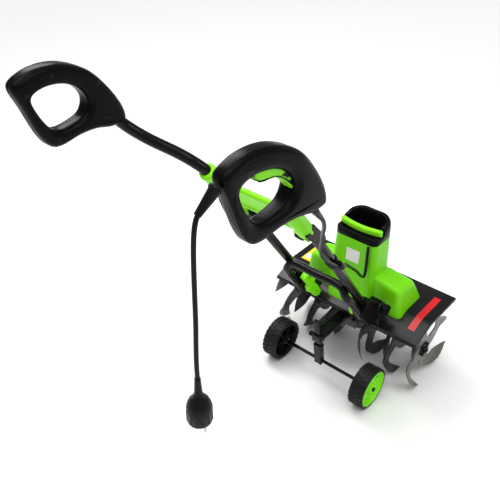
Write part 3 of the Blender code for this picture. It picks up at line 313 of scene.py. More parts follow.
def close_rings(work, rings):
    """Faces between matching rings of vertices, and a flat face at each end."""
    count = len(rings[0])
    for lower, upper in zip(rings, rings[1:]):
        for k in range(count):
            work.faces.new((lower[k], lower[(k + 1) % count], upper[(k + 1) % count], upper[k]))
    work.faces.new(rings[0][::-1])
    work.faces.new(rings[-1])


def inset(loop, distance):
    """Move an outline inwards, by distance."""
    loop = [Vector(p) for p in loop]
    area = sum(a.x * b.y - b.x * a.y for a, b in zip(loop, loop[1:] + loop[:1]))
    side = 1 if area > 0 else -1
    moved = []
    for index, point in enumerate(loop):
        along = (loop[(index + 1) % len(loop)] - loop[index - 1]).normalized()
        moved.append(point + side * distance * Vector((-along.y, along.x)))
    return moved


def tube(name, points, radius, look, steps=10, sides=28):
    """A round bar along a smooth line."""
    line = [spot(*p) for p in smooth_path(points, steps)]
    side = (line[1] - line[0]).normalized().orthogonal().normalized()
    work = bmesh.new()
    rings = []
    for index, point in enumerate(line):
        ahead = line[min(index + 1, len(line) - 1)] - line[max(index - 1, 0)]
        ahead.normalize()
        side = (side - ahead * side.dot(ahead)).normalized()
        up = ahead.cross(side)
        turns = [ray(math.tau * k / sides, radius) for k in range(sides)]
        rings.append([work.verts.new(point + turn.x * side + turn.y * up) for turn in turns])
    close_rings(work, rings)
    return from_bmesh(name, work, look)


def plate(name, loops, low, high, axis, look, bevel=0.0, turns=3):
    """Flat outlines, the later ones holes, thickened from low to high along an axis."""
    curve = bpy.data.curves.new(name, "CURVE")
    curve.dimensions = "2D"
    curve.fill_mode = "BOTH"
    curve.extrude = abs(high - low) / 2 - bevel
    curve.bevel_depth = bevel
    curve.bevel_resolution = turns
    curve.offset = -bevel
    for loop in loops:
        spline = curve.splines.new("POLY")
        spline.use_cyclic_u = True
        spline.points.add(len(loop) - 1)
        for knot, point in zip(spline.points, loop):
            knot.co = (point[0], point[1], 0.0, 1.0)
    made = add(name, curve, look)
    if axis == "X":
        made.rotation_euler = (math.radians(90), 0, math.radians(90))
        made.location = spot((low + high) / 2, 0, 0)
    else:
        made.location = spot(0, 0, (low + high) / 2)
    return baked(made)


def turned(name, profile, centre, axis, look, steps):
    """A closed (radius, height) profile turned about an axis, X or Z, through centre."""
    work = bmesh.new()
    rings = []
    for k in range(steps):
        out = ray(math.tau * k / steps)
        rings.append([work.verts.new((r * out.x, r * out.y, h)) for r, h in profile])
    for a, b in zip(rings, rings[1:] + rings[:1]):
        for j in range(len(profile)):
            n = (j + 1) % len(profile)
            work.faces.new((a[j], a[n], b[n], b[j]))
    turn = Matrix.Rotation(math.radians(90 if axis == "X" else 0), 4, "Y")
    bmesh.ops.transform(work, matrix=Matrix.Translation(spot(*centre)) @ turn, verts=work.verts)
    bmesh.ops.remove_doubles(work, verts=work.verts, dist=0.00001)
    bmesh.ops.dissolve_degenerate(work, edges=work.edges, dist=0.00001)
    return from_bmesh(name, work, look)


def loft(name, sections, look):
    """A solid through matching closed sections, with flat ends."""
    work = bmesh.new()
    close_rings(work, [[work.verts.new(spot(*point)) for point in section]
                       for section in sections])
    return from_bmesh(name, work, look)


def combine(solid, operation, *others):
    for other in others:
        modifier = solid.modifiers.new(operation, "BOOLEAN")
        modifier.operation = operation
        modifier.solver = "EXACT"
        modifier.object = other
    result = baked(solid)
    for other in others:
        bpy.data.objects.remove(other)
    return result


def cut(solid, *others):
    return combine(solid, "DIFFERENCE", *others)


def join(solid, *others):
    return combine(solid, "UNION", *others)


def merged(first, *others):
    """Put several pieces of one look into one mesh, as they are."""
    work = bmesh.new()
    for piece in (first, *others):
        work.from_mesh(piece.data)
    mesh = mesh_of(first.name, work)
    name, look = first.name, first.data.materials[0]
    for piece in (first, *others):
        bpy.data.objects.remove(piece)
    return add(name, mesh, look)


def twin(source, name):
    """The mirror image of a piece, on the machine's other side."""
    mesh = source.data.copy()
    mesh.transform(Matrix.Scale(-1, 4, (1, 0, 0)))
    mesh.flip_normals()
    return add(name, mesh, source.data.materials[0])


def turn_about(solid, y, z, angle):
    """Turn a solid about a line along X."""
    centre = spot(0, y, z)
    solid.data.transform(Matrix.Translation(centre) @ Matrix.Rotation(angle, 4, "X")
                         @ Matrix.Translation(-centre))
    return solid


def moulded(solid, voxel, passes):
    """Melt a union of solids into one skin with soft inner and outer corners."""
    remesh = solid.modifiers.new("Remesh", "REMESH")
    remesh.mode = "VOXEL"
    remesh.voxel_size = voxel
    soften = solid.modifiers.new("Smooth", "SMOOTH")
    soften.factor = 0.5
    soften.iterations = passes
    return baked(solid, 60)


def show(piece, body, slot, *nodes):
    """Let a piece ride on its body, in place of CAD nodes; slot is not used."""
    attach(piece, body)
    if nodes:
        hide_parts(*nodes)
    return piece


def pair(piece, body, slot, node):
    """A piece and its mirror image, for a node named with a side."""
    bodies = body if isinstance(body, tuple) else (body, body)
    left = twin(piece, piece.name + " left")
    show(piece, bodies[0], slot, *([node + "_right"] if node else []))
    show(left, bodies[1], slot, *([node + "_left"] if node else []))


def screw(name, place, aim, radius, body):
    """A black cross-head screw head on a body, facing along aim."""
    aim, place = Vector(aim).normalized(), Vector(place)
    head = rod(name, place - aim * radius * 0.8, place, radius, paint, 24, bevel=radius * 0.22)
    aimed = Matrix.Translation(spot(*place)) @ aim.to_track_quat("Z", "Y").to_matrix().to_4x4()
    for turn in (20, 110):
        bar = bmesh.new()
        bmesh.ops.create_cube(bar, size=1.0)
        bmesh.ops.scale(bar, vec=(radius * 1.1, radius * 0.26, radius * 0.7), verts=bar.verts)
        spin = Matrix.Rotation(math.radians(turn), 4, "Z")
        bmesh.ops.transform(bar, matrix=aimed @ spin, verts=bar.verts)
        head = cut(head, from_bmesh("cross", bar, paint))
    show(head, body, "black_tube_paint")


# ---- Hood ----
def make_hood():
    """A thin sheet, bent down at the rear, with rolled edges and two hinge lugs."""
    rolled = ((0.0022, 0.0004), (0.0014, 0.0014), (0.0004, 0.0022), (0.0, 0.0055))
    edge_x = HOOD_HALF_WIDTH - 0.004
    rows = [HOOD_FRONT - 0.004, 0.06, 0.02, HOOD_BEND + 0.010, HOOD_BEND, -0.024, -0.030, -0.042,
            -0.054, -0.066, -0.078, HOOD_REAR + 0.003]
    columns = [-edge_x, -0.14, -0.07, 0.0, 0.07, 0.14, edge_x]
    middle_y = SHAFT_Y + (HOOD_FRONT + HOOD_REAR) / 2
    work = bmesh.new()
    grid = [[work.verts.new(spot(x, y, hood_height(y))) for x in columns] for y in rows]
    for a, b in zip(grid, grid[1:]):
        for k in range(len(columns) - 1):
            work.faces.new((a[k], a[k + 1], b[k + 1], b[k]))
    bmesh.ops.recalc_face_normals(work, faces=work.faces)
    if work.faces[0].normal.z < 0:
        bmesh.ops.reverse_faces(work, faces=work.faces)
    for out, down in rolled:
        rim = [e for e in work.edges if e.is_boundary]
        ring = bmesh.ops.extrude_edge_only(work, edges=rim)["geom"]
        for vert in [v for v in ring if isinstance(v, bmesh.types.BMVert)]:
            y = vert.co.y - SHAFT_Y
            if abs(vert.co.x) > HOOD_HALF_WIDTH - 0.010:
                vert.co.x += math.copysign(out, vert.co.x)
            if y > HOOD_FRONT - 0.012 or y < HOOD_REAR + 0.006:
                vert.co.y += math.copysign(out, vert.co.y - middle_y)
            vert.co.z -= down
    hood = add("hood sheet", mesh_of("hood", work), hood_paint)
    wall = hood.modifiers.new("Solidify", "SOLIDIFY")
    wall.thickness, wall.offset = 0.0016, -1
    hood = baked(hood, 50)
    outline = [(-0.088, 0.182), (-0.062, 0.190), (-0.070, 0.246), (-0.077, 0.2555),
               (-0.086, 0.2590), (-0.095, 0.2555), (-0.101, 0.246)]
    lug = plate("lug", [smooth_loop(outline, 3)], 0.1046, 0.1078, "X", hood_paint, 0.0006)
    show(merged(hood, lug, twin(lug, "lug left")), "chassis", "hood_black", "hood")


# ---- Body ----
def rounded_plan(half, back, front, back_radius, front_radius, height, tilt=0.0):
    """A level rectangle with round corners, whose height may rise towards the front."""
    ring, steps = [], 8
    corners = [(half, front, front_radius, 0), (-half, front, front_radius, 90),
               (-half, back, back_radius, 180), (half, back, back_radius, 270)]
    for x, y, radius, start in corners:
        centre_x = x - math.copysign(radius, x)
        centre_y = y - radius if y == front else y + radius
        for step in range(steps + 1):
            out = ray(math.radians(start + 90 * step / steps), radius)
            py = centre_y + out.y
            ring.append((centre_x + out.x, py, height + tilt * (py - back)))
    return ring


def stack(name, plans, look):
    """A solid through rounded plans, from the lowest up."""
    return loft(name, [rounded_plan(*plan) for plan in plans], look)


def saddle(name, wall, floor):
    """The wide low part of the housing, or, with a wall, the space inside it."""
    def section(x_low, x_high, z_rear, z_front, front_low):
        return [(x_low, -0.053 + wall, floor), (x_high, -0.055 + wall, z_rear - wall),
                (x_high, 0.022 - wall, z_front - wall), (x_low, front_low - wall, floor)]
    ends = [section(-0.147 + wall, -0.134 + wall, 0.285, 0.277, 0.068),
            section(-0.068, -0.068, 0.296, 0.286, 0.072),
            section(0.068, 0.068, 0.296, 0.286, 0.072),
            section(0.147 - wall, 0.134 - wall, 0.285, 0.277, 0.068)]
    return rounded(loft(name, ends, lime), 0.0125, 6, 35)


def tower(name, wall, floor, top):
    """The oval tower of the housing, or, with a wall, the space inside it."""
    rows = ((0.0665, 0.073, 0.035, floor), (0.062, 0.0665, 0.030, 0.300),
            (0.0592, 0.064, 0.027, top))
    return stack(name, [(half - wall, wall - back, front - wall, 0.016, 0.036, height)
                        for half, back, front, height in rows], lime)


def below_hood(name, clearance):
    """All the space under the hood's upper face, to cut away."""
    rows = [0.2, HOOD_BEND, -0.036, -0.054, -0.072, HOOD_REAR, -0.2]
    outline = [(y, hood_height(max(y, HOOD_REAR)) + clearance) for y in rows]
    return plate(name, [outline + [(-0.2, 0.1), (0.2, 0.1)]], -0.3, 0.3, "X", lime)


def make_body():
    skin = join(saddle("motor housing", 0.0, 0.19), tower("tower", 0.0, 0.19, 0.400))
    voxel, passes = ((0.0016, 9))
    skin = moulded(skin, voxel, passes)
    top = box("top", (-0.1, -0.1, 0.3863), (0.1, 0.1, 0.45), lime)
    skin = cut(skin, below_hood("hood space", 0.0004), top)
    skin = cut(skin, saddle("hollow", 0.0045, 0.15), tower("shaft", 0.003, 0.15, 0.45))
    show(skin, "chassis", "lime_plastic", "motor_housing")
    low, rim = 0.3866, 0.4165
    outer = stack("motor cap", [
        (0.0594, -0.0642, 0.0272, 0.016, 0.036, low),
        (0.0596, -0.0644, 0.0274, 0.016, 0.036, low + 0.001),
        (0.0592, -0.064, 0.027, 0.016, 0.036, rim - 0.010, 0.06),
        (0.0582, -0.063, 0.026, 0.016, 0.036, rim - 0.004, 0.15),
        (0.0552, -0.060, 0.0232, 0.016, 0.034, rim, 0.19)], black)
    tub = stack("tub", [(0.0505, -0.0555, 0.0185, 0.012, 0.030, z) for z in (0.372, 0.390)], black)
    pocket = stack("pocket", [
        (0.0440, -0.0490, 0.0120, 0.010, 0.028, 0.3755),
        (0.0462, -0.0512, 0.0142, 0.010, 0.028, 0.3785),
        (0.0472, -0.0522, 0.0152, 0.010, 0.028, 0.400),
        (0.0480, -0.0530, 0.0160, 0.010, 0.028, 0.460)], black)
    seat = box("seat", (-0.09, -0.09, 0.4035), (0.09, -0.027, 0.46), black)
    cap = cut(join(outer, tub), pocket, seat)
    show(rounded(cap, 0.0011, 3, 30), "chassis", "black_plastic", "motor_cap")
    make_grip()


def make_grip():
    """Bowed bar over the hand pocket, with round ends and a sunk screw in each."""
    radius, centre_y, half_depth, end_radius = 0.170, 0.125, 0.0060, 0.0068
    reach, steps = math.radians(17.6), 28
    angles = [-math.pi / 2 - reach + 2 * reach * k / steps for k in range(steps + 1)]
    rear = [ray(angle, radius + half_depth) for angle in angles]
    front = [ray(angle, radius - half_depth) for angle in reversed(angles)]
    tips = []
    for angle, start in ((angles[-1], angles[-1]), (angles[0], angles[0] + math.pi)):
        tips.append([ray(angle, radius) + ray(start + math.radians(turn), end_radius)
                     for turn in range(15, 180, 15)])
    outline = [point + Vector((0, centre_y)) for point in rear + tips[0] + front + tips[1]]
    bar = plate("carry grip", [outline], 0.4038, 0.4205, "Z", bright, 0.0045, 6)
    spots = [(side * 0.0520, -0.0366) for side in (-1, 1)]
    wells = [rod("well", (*place, 0.4150), (*place, 0.4300), 0.0034, bright) for place in spots]
    show(rounded(cut(bar, *wells), 0.0004, 2, 50), "chassis", "bright_lime_plastic", "carry_grip")
    for place in spots:
        screw("grip screw", (*place, 0.4165), (0, 0, 1), 0.0032, "chassis")


# ---- Tines ----
def star_outline():
    """Four swept blades, each with a middle line given as radius, angle and width."""
    spine = [
        (0.030, 192, 0.040), (0.041, 193, 0.0405), (0.052, 195, 0.038), (0.062, 198, 0.0350),
        (0.072, 202, 0.031), (0.079, 208.5, 0.0285), (0.084, 215, 0.026), (0.0885, 223, 0.0228),
        (0.092, 231, 0.019), (0.0955, 239, 0.0125)]
    loop, tip_angle = [], 250
    for turn in (0, 90, 180, 270):
        path = [ray(math.radians(angle + turn), radius) for radius, angle, _ in spine]
        path.append(ray(math.radians(tip_angle + turn), TINE_RADIUS))
        near, far = [], []
        for k, (_, _, width) in enumerate(spine):
            along = (path[k + 1] - path[max(k - 1, 0)]).normalized()
            across = Vector((-along.y, along.x)) * width / 2
            far.append(path[k] - across)
            near.append(path[k] + across)
        loop += far + path[-1:] + near[::-1]
    loop = [point * min(1.0, TINE_RADIUS / point.length) for point in loop]
    return [(point.x, SHAFT_Z + point.y) for point in loop]


def make_star(name, x, phase, look):
    """Blades with ground edges, whose tips are bent outwards."""
    thick, bend_from, reach = 0.0036, 0.080, 0.019
    star = plate(name, [star_outline()], x - thick / 2, x + thick / 2, "X", look, 0.0009, 2)
    cuts = bmesh.new()
    cuts.from_mesh(star.data)
    long_edges = [e for e in cuts.edges if e.calc_length() > 0.006]
    bmesh.ops.subdivide_edges(cuts, edges=long_edges, cuts=3)
    bmesh.ops.triangulate(cuts, faces=cuts.faces)
    cuts.to_mesh(star.data)
    cuts.free()
    centre = spot(0, 0, SHAFT_Z)
    for vertex in star.data.vertices:
        radius = (vertex.co - centre).yz.length
        share = max(0.0, radius - bend_from) / (TINE_RADIUS - bend_from)
        vertex.co.x += reach * share ** 1.35
    star.data.shade_smooth()
    star.data.set_sharp_from_angle(angle=math.radians(30))
    return turn_about(star, 0, SHAFT_Z, math.radians(phase))


def make_rotor():
    shaft = Vector((0, SHAFT_Z))
    tubes = ((0.0200, 0.0520), (0.0544, 0.1240), (0.1264, 0.1960))
    for number, (x, phase, (start, end)) in enumerate(zip(STAR_SPOTS, (55, 20, 2), tubes), 1):
        # Painted shade: the inner stars take the darker shaded steel, and the outer star takes the
        # plain steel.
        look = steel if number == len(STAR_SPOTS) else shaded_tine_steel
        star = make_star(f"tine star {number}", x, phase, look)
        hub = x_rod("hub", start, end, shaft, 0.0125, look, 48, 0.0008)
        flange = x_rod("disc", x - 0.0045, x - 0.0012, shaft, 0.0200, look, 48, 0.0008)
        weld = turned("weld", [(0.0118, -0.0008), (0.0152, -0.0012), (0.0146, 0.0018),
                               (0.0118, 0.0042)], (x - 0.0070, *shaft), "X", look, 48)
        whole = merged(star, hub, flange, weld)
        left = twin(whole, f"tine star left {number}")
        show(whole, "tine_rotor", "tine_steel", f"tine_star_right_{number}")
        show(left, "tine_rotor", "tine_steel", f"tine_star_left_{number}")
    pieces = [x_rod("end flange", 0.1980, 0.2004, shaft, 0.0206, paint, 48, 0.0007),
              x_rod("nut", 0.2000, 0.2080, shaft, 0.0106, paint, 6, 0.0008),
              x_rod("stud", 0.2070, 0.2105, shaft, 0.0048, paint, 24, 0.0006)]
    for k in range(4):
        place = shaft + ray(math.radians(45 + 90 * k), 0.0152)
        pieces.append(x_rod("bolt", 0.1999, 0.2058, place, 0.0044, paint, 6, 0.0006))
        pieces.append(x_rod("washer", 0.1999, 0.2014, place, 0.0052, paint, 24, 0.0003))
    pair(merged(*pieces), "tine_rotor", "black_tube_paint", "end_flange")


# ---- Wheels ----
def make_wheels():
    hub, lug_count, slot_count = Vector((AXLE_Y, WHEEL_RADIUS)), 26, 5
    centre, bodies = (WHEEL_SPOT, *hub), ("wheel_right_body", "wheel_left_body")
    tyre = turned("wheel", [
        (0.0046, -0.0190), (0.0098, -0.0192), (0.0112, -0.0180), (0.0118, -0.0008), (0.0135, 0.0),
        (0.0415, 0.0), (0.0438, -0.0010), (0.0455, -0.0190), (0.0466, -0.0204), (0.0482, -0.0208),
        (0.0518, -0.0206), (0.0536, -0.0190), (0.0541, -0.0165), (0.0543, 0.0), (0.0541, 0.0165),
        (0.0536, 0.0190), (0.0518, 0.0206), (0.0498, 0.0208), (0.0490, 0.0200), (0.0490, 0.0040),
        (0.0046, 0.0040)], centre, "X", tread, 96)
    ribs = []
    for k in range(6):
        rib = box("rib", (WHEEL_SPOT - 0.0150, AXLE_Y + 0.0100, WHEEL_RADIUS - 0.0010),
                  (WHEEL_SPOT + 0.0005, AXLE_Y + 0.0450, WHEEL_RADIUS + 0.0010), tread, 0.0005, 2)
        ribs.append(turn_about(rib, *hub, math.radians(60 * k)))
    lugs = []
    for k in range(lug_count):
        for side in (-1, 1):
            low, high = sorted((side * 0.0010, side * 0.0196))
            lug = box("lug", (WHEEL_SPOT + low, AXLE_Y - 0.0037, WHEEL_RADIUS + 0.0530),
                      (WHEEL_SPOT + high, AXLE_Y + 0.0037, 2 * WHEEL_RADIUS), tread, 0.0008, 2)
            for vertex in lug.data.vertices:
                vertex.co.y += 0.0035 * side * (vertex.co.x - WHEEL_SPOT) / 0.020
            turn = math.tau / lug_count * (k + (0.5 if side > 0 else 0))
            lugs.append(turn_about(lug, *hub, turn))
    pair(merged(tyre, *ribs, *lugs), bodies, "wheel_black", "wheel")
    cover = turned("wheel cover", [
        (0.0046, 0.0043), (0.0487, 0.0043), (0.0488, 0.0185), (0.0480, 0.0202), (0.0452, 0.0206),
        (0.0440, 0.0196), (0.0432, 0.0110), (0.0405, 0.0100), (0.0398, 0.0150), (0.0388, 0.0160),
        (0.0374, 0.0158), (0.0364, 0.0135), (0.0300, 0.0105), (0.0285, 0.0140), (0.0268, 0.0140),
        (0.0255, 0.0100), (0.0160, 0.0090), (0.0142, 0.0105), (0.0132, 0.0172), (0.0118, 0.0186),
        (0.0046, 0.0186)], centre, "X", bright, 96)
    slots = []
    for k in range(slot_count):
        arc = [math.radians(72 * k + 34 + angle) for angle in range(-14, 15, 4)]
        ring = [hub + ray(angle, 0.0362) for angle in arc]
        ring += [hub + ray(angle, 0.0300) for angle in reversed(arc)]
        slots.append(plate("slot", [ring], WHEEL_SPOT + 0.006, WHEEL_SPOT + 0.03, "X", bright))
    cover = rounded(cut(cover, *slots), 0.0005, 2, 40)
    pair(cover, bodies, "bright_lime_plastic", "wheel_cover")
    dark = turned("cover back", [(0.0060, 0.0040), (0.0480, 0.0040), (0.0480, 0.0062),
                                 (0.0060, 0.0062)], centre, "X", tread, 64)
    pair(dark, bodies, "wheel_black", None)
    end = WHEEL_SPOT + 0.0235
    pieces = [x_rod("axle", -end, end, hub, 0.0045, paint, 32, 0.0006)]
    for side in (-1, 1):
        for low, high, radius, round_by in ((0.0192, 0.0230, 0.0058, 0.0012),
                                            (-0.0235, -0.0196, 0.0075, 0.0008)):
            pieces.append(x_rod("cap", side * (WHEEL_SPOT + low), side * (WHEEL_SPOT + high), hub,
                                radius, paint, 40, round_by))
    show(merged(*pieces), "wheel_bracket", "black_tube_paint", "axle")


def strut_box(name, half_x, half_y, low, high, bevel=0.0):
    """A block round the strut's line, from low to high above the axle."""
    made = box(name, (STRUT_X - half_x, AXLE_Y - half_y, WHEEL_RADIUS + low),
               (STRUT_X + half_x, AXLE_Y + half_y, WHEEL_RADIUS + high), paint, bevel)
    return turn_about(made, AXLE_Y, WHEEL_RADIUS, math.atan(STRUT_SLOPE))


def strut_point(height):
    """The y and z of the strut's line at a height."""
    return AXLE_Y - STRUT_SLOPE * (height - WHEEL_RADIUS), height


def make_bracket():
    strut = strut_box("wheel strut", 0.0090, 0.0045, -0.012, 0.148, 0.0018)
    yoke = strut_box("yoke", 0.0111, 0.0081, -0.0095, 0.062, 0.0022)
    lips = [strut_box("lip", 0.0114, 0.0084, low, low + 0.006, 0.0015) for low in (-0.0098, 0.056)]
    holes = [x_rod("hole", STRUT_X - 0.02, STRUT_X + 0.02, strut_point(z), 0.0032, paint, 24)
             for z in (0.172, 0.187)]
    strut = cut(join(strut, yoke, *lips), *holes)
    rivets = [x_rod("rivet", STRUT_X + side * 0.0105, STRUT_X + side * 0.0128, strut_point(z),
                    0.0034, paint, 24, 0.0009) for z in (0.064, 0.098, 0.112) for side in (-1, 1)]
    show(merged(strut, *rivets), "wheel_bracket", "black_tube_paint", "wheel_strut")
    clamp = strut_box("strut clamp", 0.0135, 0.0095, 0.076, 0.100, 0.0018)
    back = strut_point(0.143)[0]
    arm = box("arm", (STRUT_X - 0.0135, back + 0.0085, 0.136), (STRUT_X + 0.0135, -0.0445, 0.152),
              paint, 0.0015)
    foot = box("foot", (-0.0170, -0.0448, 0.116), (0.0170, -0.0399, 0.172), paint, 0.0012)
    clamp = cut(join(clamp, arm, foot), strut_box("guide", 0.0094, 0.0049, 0.05, 0.13))
    bolts = [rod("bolt", (x, -0.0445, z), (x, -0.0490, z), 0.0042, paint, 6, bevel=0.0005)
             for x in (-0.0105, 0.0105) for z in (0.122, 0.166)]
    show(merged(clamp, *bolts), "chassis", "black_tube_paint", "strut_clamp")
    place = strut_point(LOCK_HEIGHT)
    pin = x_rod("lock pin", -0.0345, STRUT_X - 0.0093, place, 0.0030, paint, 24)
    knob = x_rod("pin knob", -0.0350, -0.0270, place, 0.0062, black, 32, 0.0018)
    show(pin, "height_pin", "black_tube_paint", "lock_pin")
    show(knob, "height_pin", "black_plastic")


# ---- Lower frame ----
def tube_point(height):
    """The lower tubes' y at a height."""
    (y1, z1), (y2, z2) = LOWER_TUBE_FOOT, LOWER_TUBE_TOP
    return y1 + (y2 - y1) * (height - z1) / (z2 - z1)


def leg_point(height):
    """The y and z of the hoop's leg, behind the lower tube at a height."""
    side = (Vector(LOWER_TUBE_TOP) - Vector(LOWER_TUBE_FOOT)).normalized()
    return Vector((tube_point(height), height)) + Vector((-side.y, side.x)) * 0.0212


def lobed(name, place, low, high, radius, lobes, depth, bevel):
    """A round grip with lobes, about the y and z of place."""
    steps, ring = lobes * 10, []
    for k in range(steps):
        swell = abs(math.cos(lobes * math.pi * k / steps)) ** 0.6
        out = ray(math.tau * k / steps, radius * (1 - depth + depth * swell))
        ring.append((place[0] + out.x, place[1] + out.y))
    return plate(name, [ring], low, high, "X", black, bevel, 4)


def make_knob(name, place, shape, rods):
    """A lobed knob with its collar, stem, nut and boss, and its mirror image."""
    parts = [lobed(name, place, *shape)]
    for low, high, radius, sides, round_by in rods:
        parts.append(x_rod("rod", low, high, place, radius, black, sides, round_by))
    node = name.replace(" ", "_")
    pair(merged(*parts), (node + "_right_body", node + "_left_body"), "black_plastic", node)


def make_lower_frame():
    foot, top = LOWER_TUBE_FOOT, LOWER_TUBE_TOP
    tubes = rod("lower tube", (TUBE_SPOT, *foot), (TUBE_SPOT, *top), TUBE_RADIUS, paint, 48,
                bevel=0.0008)
    pair(tubes, "lower_frame", "black_tube_paint", "lower_tube")
    low, high, bend = leg_point(0.262), leg_point(0.335), leg_point(0.362)
    route = [
        (-0.090, low.x, low.y), (-0.090, high.x, high.y), (-0.084, bend.x, bend.y),
        (-0.064, -0.2205, 0.3720), (0.0, -0.2205, 0.3720), (0.064, -0.2205, 0.3720),
        (0.084, bend.x, bend.y), (0.090, high.x, high.y), (0.090, low.x, low.y)]
    hoop = tube("hoop", route, 0.0099, paint, 12, 32)
    show(hoop, "lower_frame", "black_tube_paint", "hoop")
    outline = [
        (-0.171, 0.270), (-0.150, 0.236), (-0.126, 0.210), (-0.098, 0.2055), (-0.076, 0.228),
        (-0.072, 0.246), (-0.080, 0.260), (-0.098, 0.264), (-0.125, 0.287), (-0.148, 0.300)]
    socket = plate("foot socket", [smooth_loop(outline, 3)], 0.0740, 0.1040, "X", black, 0.0030, 4)
    ribs = [plate("rib", [inset(smooth_loop(outline, 3), -0.0010)], x, x + 0.0022, "X", black,
                  0.0004, 2) for x in (0.0790, 0.0880, 0.0970)]
    bore = rod("bore", (TUBE_SPOT, tube_point(0.2256), 0.2256),
               (TUBE_SPOT, tube_point(0.36), 0.36), TUBE_RADIUS + 0.0003, black)
    leg = rod("leg", (0.090, *leg_point(0.2617)), (0.090, *leg_point(0.340)), 0.0104, black)
    socket = cut(join(socket, *ribs), bore, leg)
    pair(socket, "lower_frame", "black_plastic", "foot_socket")
    clip_outline = [
        (-0.183, 0.305), (-0.166, 0.315), (-0.152, 0.296), (-0.142, 0.294), (-0.134, 0.278),
        (-0.137, 0.270), (-0.118, 0.246), (-0.104, 0.222), (-0.112, 0.212), (-0.128, 0.218),
        (-0.144, 0.240), (-0.153, 0.244), (-0.160, 0.262), (-0.158, 0.270)]
    clip = plate("foot clip", [clip_outline], 0.0585, 0.0735, "X", bright, 0.0016, 3)
    screw_spots = ((-0.122, 0.231), (-0.160, 0.297))
    clip = cut(clip, *[x_rod("hole", 0.05, 0.08, place, 0.0042, bright, 28)
                       for place in screw_spots])
    pair(clip, "lower_frame", "bright_lime_plastic", "foot_clip")
    for place in screw_spots:
        for side in (-1, 1):
            screw("clip screw", (side * 0.0612, *place), (-side, 0, 0), 0.0040, "lower_frame")
    make_knob("tilt knob", TILT_AXIS, (0.1125, 0.1265, 0.0142, 5, 0.16, 0.0022),
              ((0.1081, 0.1130, 0.0078, 40, 0.0008), (0.0690, 0.1200, 0.0042, 24, 0.0),
               (0.0690, 0.0727, 0.0072, 6, 0.0006), (0.1262, 0.1278, 0.0060, 32, 0.0006)))


# ---- Fold joint ----
def make_fold_joint():
    top, foot = Vector(SLEEVE_TOP), Vector(SLEEVE_FOOT)
    along = (foot - top).normalized()
    across = Vector((-along.y, along.x))
    sleeve = rod("sleeve", (0.090, *foot), (0.090, *top), 0.0165, bright, 56, bevel=0.0022)
    ring = rod("ring", (0.090, *(top + along * 0.004)), (0.090, *(top + along * 0.010)), 0.0174,
               bright, 56, bevel=0.0012)
    start, pivot = foot - along * 0.014, Vector(FOLD_AXIS)
    turns = [ray(math.radians(90 - 15 * k), 0.013) for k in range(13)]
    tip = [pivot + turn.x * along + turn.y * across for turn in turns]
    outline = [start + 0.0145 * across] + tip + [start - 0.0145 * across]
    half = join(sleeve, ring, plate("ear", [outline], 0.0738, 0.0790, "X", bright, 0.0010, 3))
    outer_ear = plate("outer ear", [outline], 0.1010, 0.1062, "X", paint, 0.0010, 3)
    bolt_hole = x_rod("bolt", 0.09, 0.12, FOLD_AXIS, 0.0035, paint)
    pair(cut(outer_ear, bolt_hole), "upper_handle", "black_tube_paint", None)
    outline = [
        (-0.432, 0.6430), (-0.4265, 0.6490), (-0.4250, 0.6640), (-0.4340, 0.6800),
        (-0.4470, 0.6960), (-0.4560, 0.6985), (-0.4590, 0.6940), (-0.4520, 0.6800),
        (-0.4400, 0.6600)]
    web = plate("fold brace", [smooth_loop(outline, 4)], -0.0800, 0.0800, "X", bright)
    bars = [x_rod("bar", -0.079, 0.079, place, 0.0062, bright, 32)
            for place in ((-0.4310, 0.6480), (-0.4345, 0.6640), (-0.4440, 0.6800),
                          (-0.4545, 0.6935))]
    brace = join(web, half, twin(half, "other"), *bars)
    steps, knots_before = 4, 5
    route, cuts = smooth_path(UPPER_TUBE, steps)[knots_before * steps:], []
    for side in (-1, 1):
        cuts.append(tube("bore", [(side * x, y, z) for x, y, z in route], 0.0113, bright, 2))
        cuts.append(x_rod("bolt", side * 0.05, side * 0.15, FOLD_AXIS, 0.0035, bright))
    brace = rounded(cut(brace, *cuts), 0.0009, 3, 35)
    show(brace, "upper_handle", "bright_lime_plastic", "fold_brace")
    for side in (-1, 1):
        for shift in (-0.022, 0.026):
            place = (top + foot) / 2 + along * shift + across * 0.0160
            screw("sleeve screw", (side * 0.090, *place), (0, *across), 0.0036, "upper_handle")
    make_knob("fold knob", FOLD_AXIS, (0.0500, 0.0660, 0.0168, 4, 0.20, 0.0026),
              ((0.0650, 0.0735, 0.0085, 40, 0.0010), (0.0600, 0.1080, 0.0032, 24, 0.0),
               (0.1064, 0.1112, 0.0066, 6, 0.0006), (0.0484, 0.0502, 0.0070, 32, 0.0007)))
    upper = tube("upper tube", UPPER_TUBE, 0.0110, paint, 14, 36)
    pair(upper, "upper_handle", "black_tube_paint", "upper_tube")


# ---- Handles ----
def make_handle():
    """One D handle: soft edges, an outer half that thins to the rear, a parting groove."""
    outline, hole = smooth_loop(HANDLE_OUTLINE, 6), smooth_loop(HANDLE_HOLE, 6)
    low, high = HANDLE_SPOT - HANDLE_HALF, HANDLE_SPOT + HANDLE_HALF
    grip = plate("handle", [outline, hole], low, high, "X", black, 0.0125, 7)
    slim_from, slim_to, slim = -0.62 + SHAFT_Y, -0.72 + SHAFT_Y, 0.50
    for vertex in grip.data.vertices:
        share = min(1.0, max(0.0, (slim_from - vertex.co.y) / (slim_from - slim_to)))
        if vertex.co.x > HANDLE_SPOT:
            vertex.co.x -= (vertex.co.x - HANDLE_SPOT) * slim * share
    rings = ([inset(outline, -0.004), inset(outline, 0.0009)],
             [inset(hole, 0.0009), inset(hole, -0.004)])
    return cut(grip, *[plate("groove", ring, HANDLE_SPOT - 0.0004, HANDLE_SPOT + 0.0004, "X",
                             black) for ring in rings])


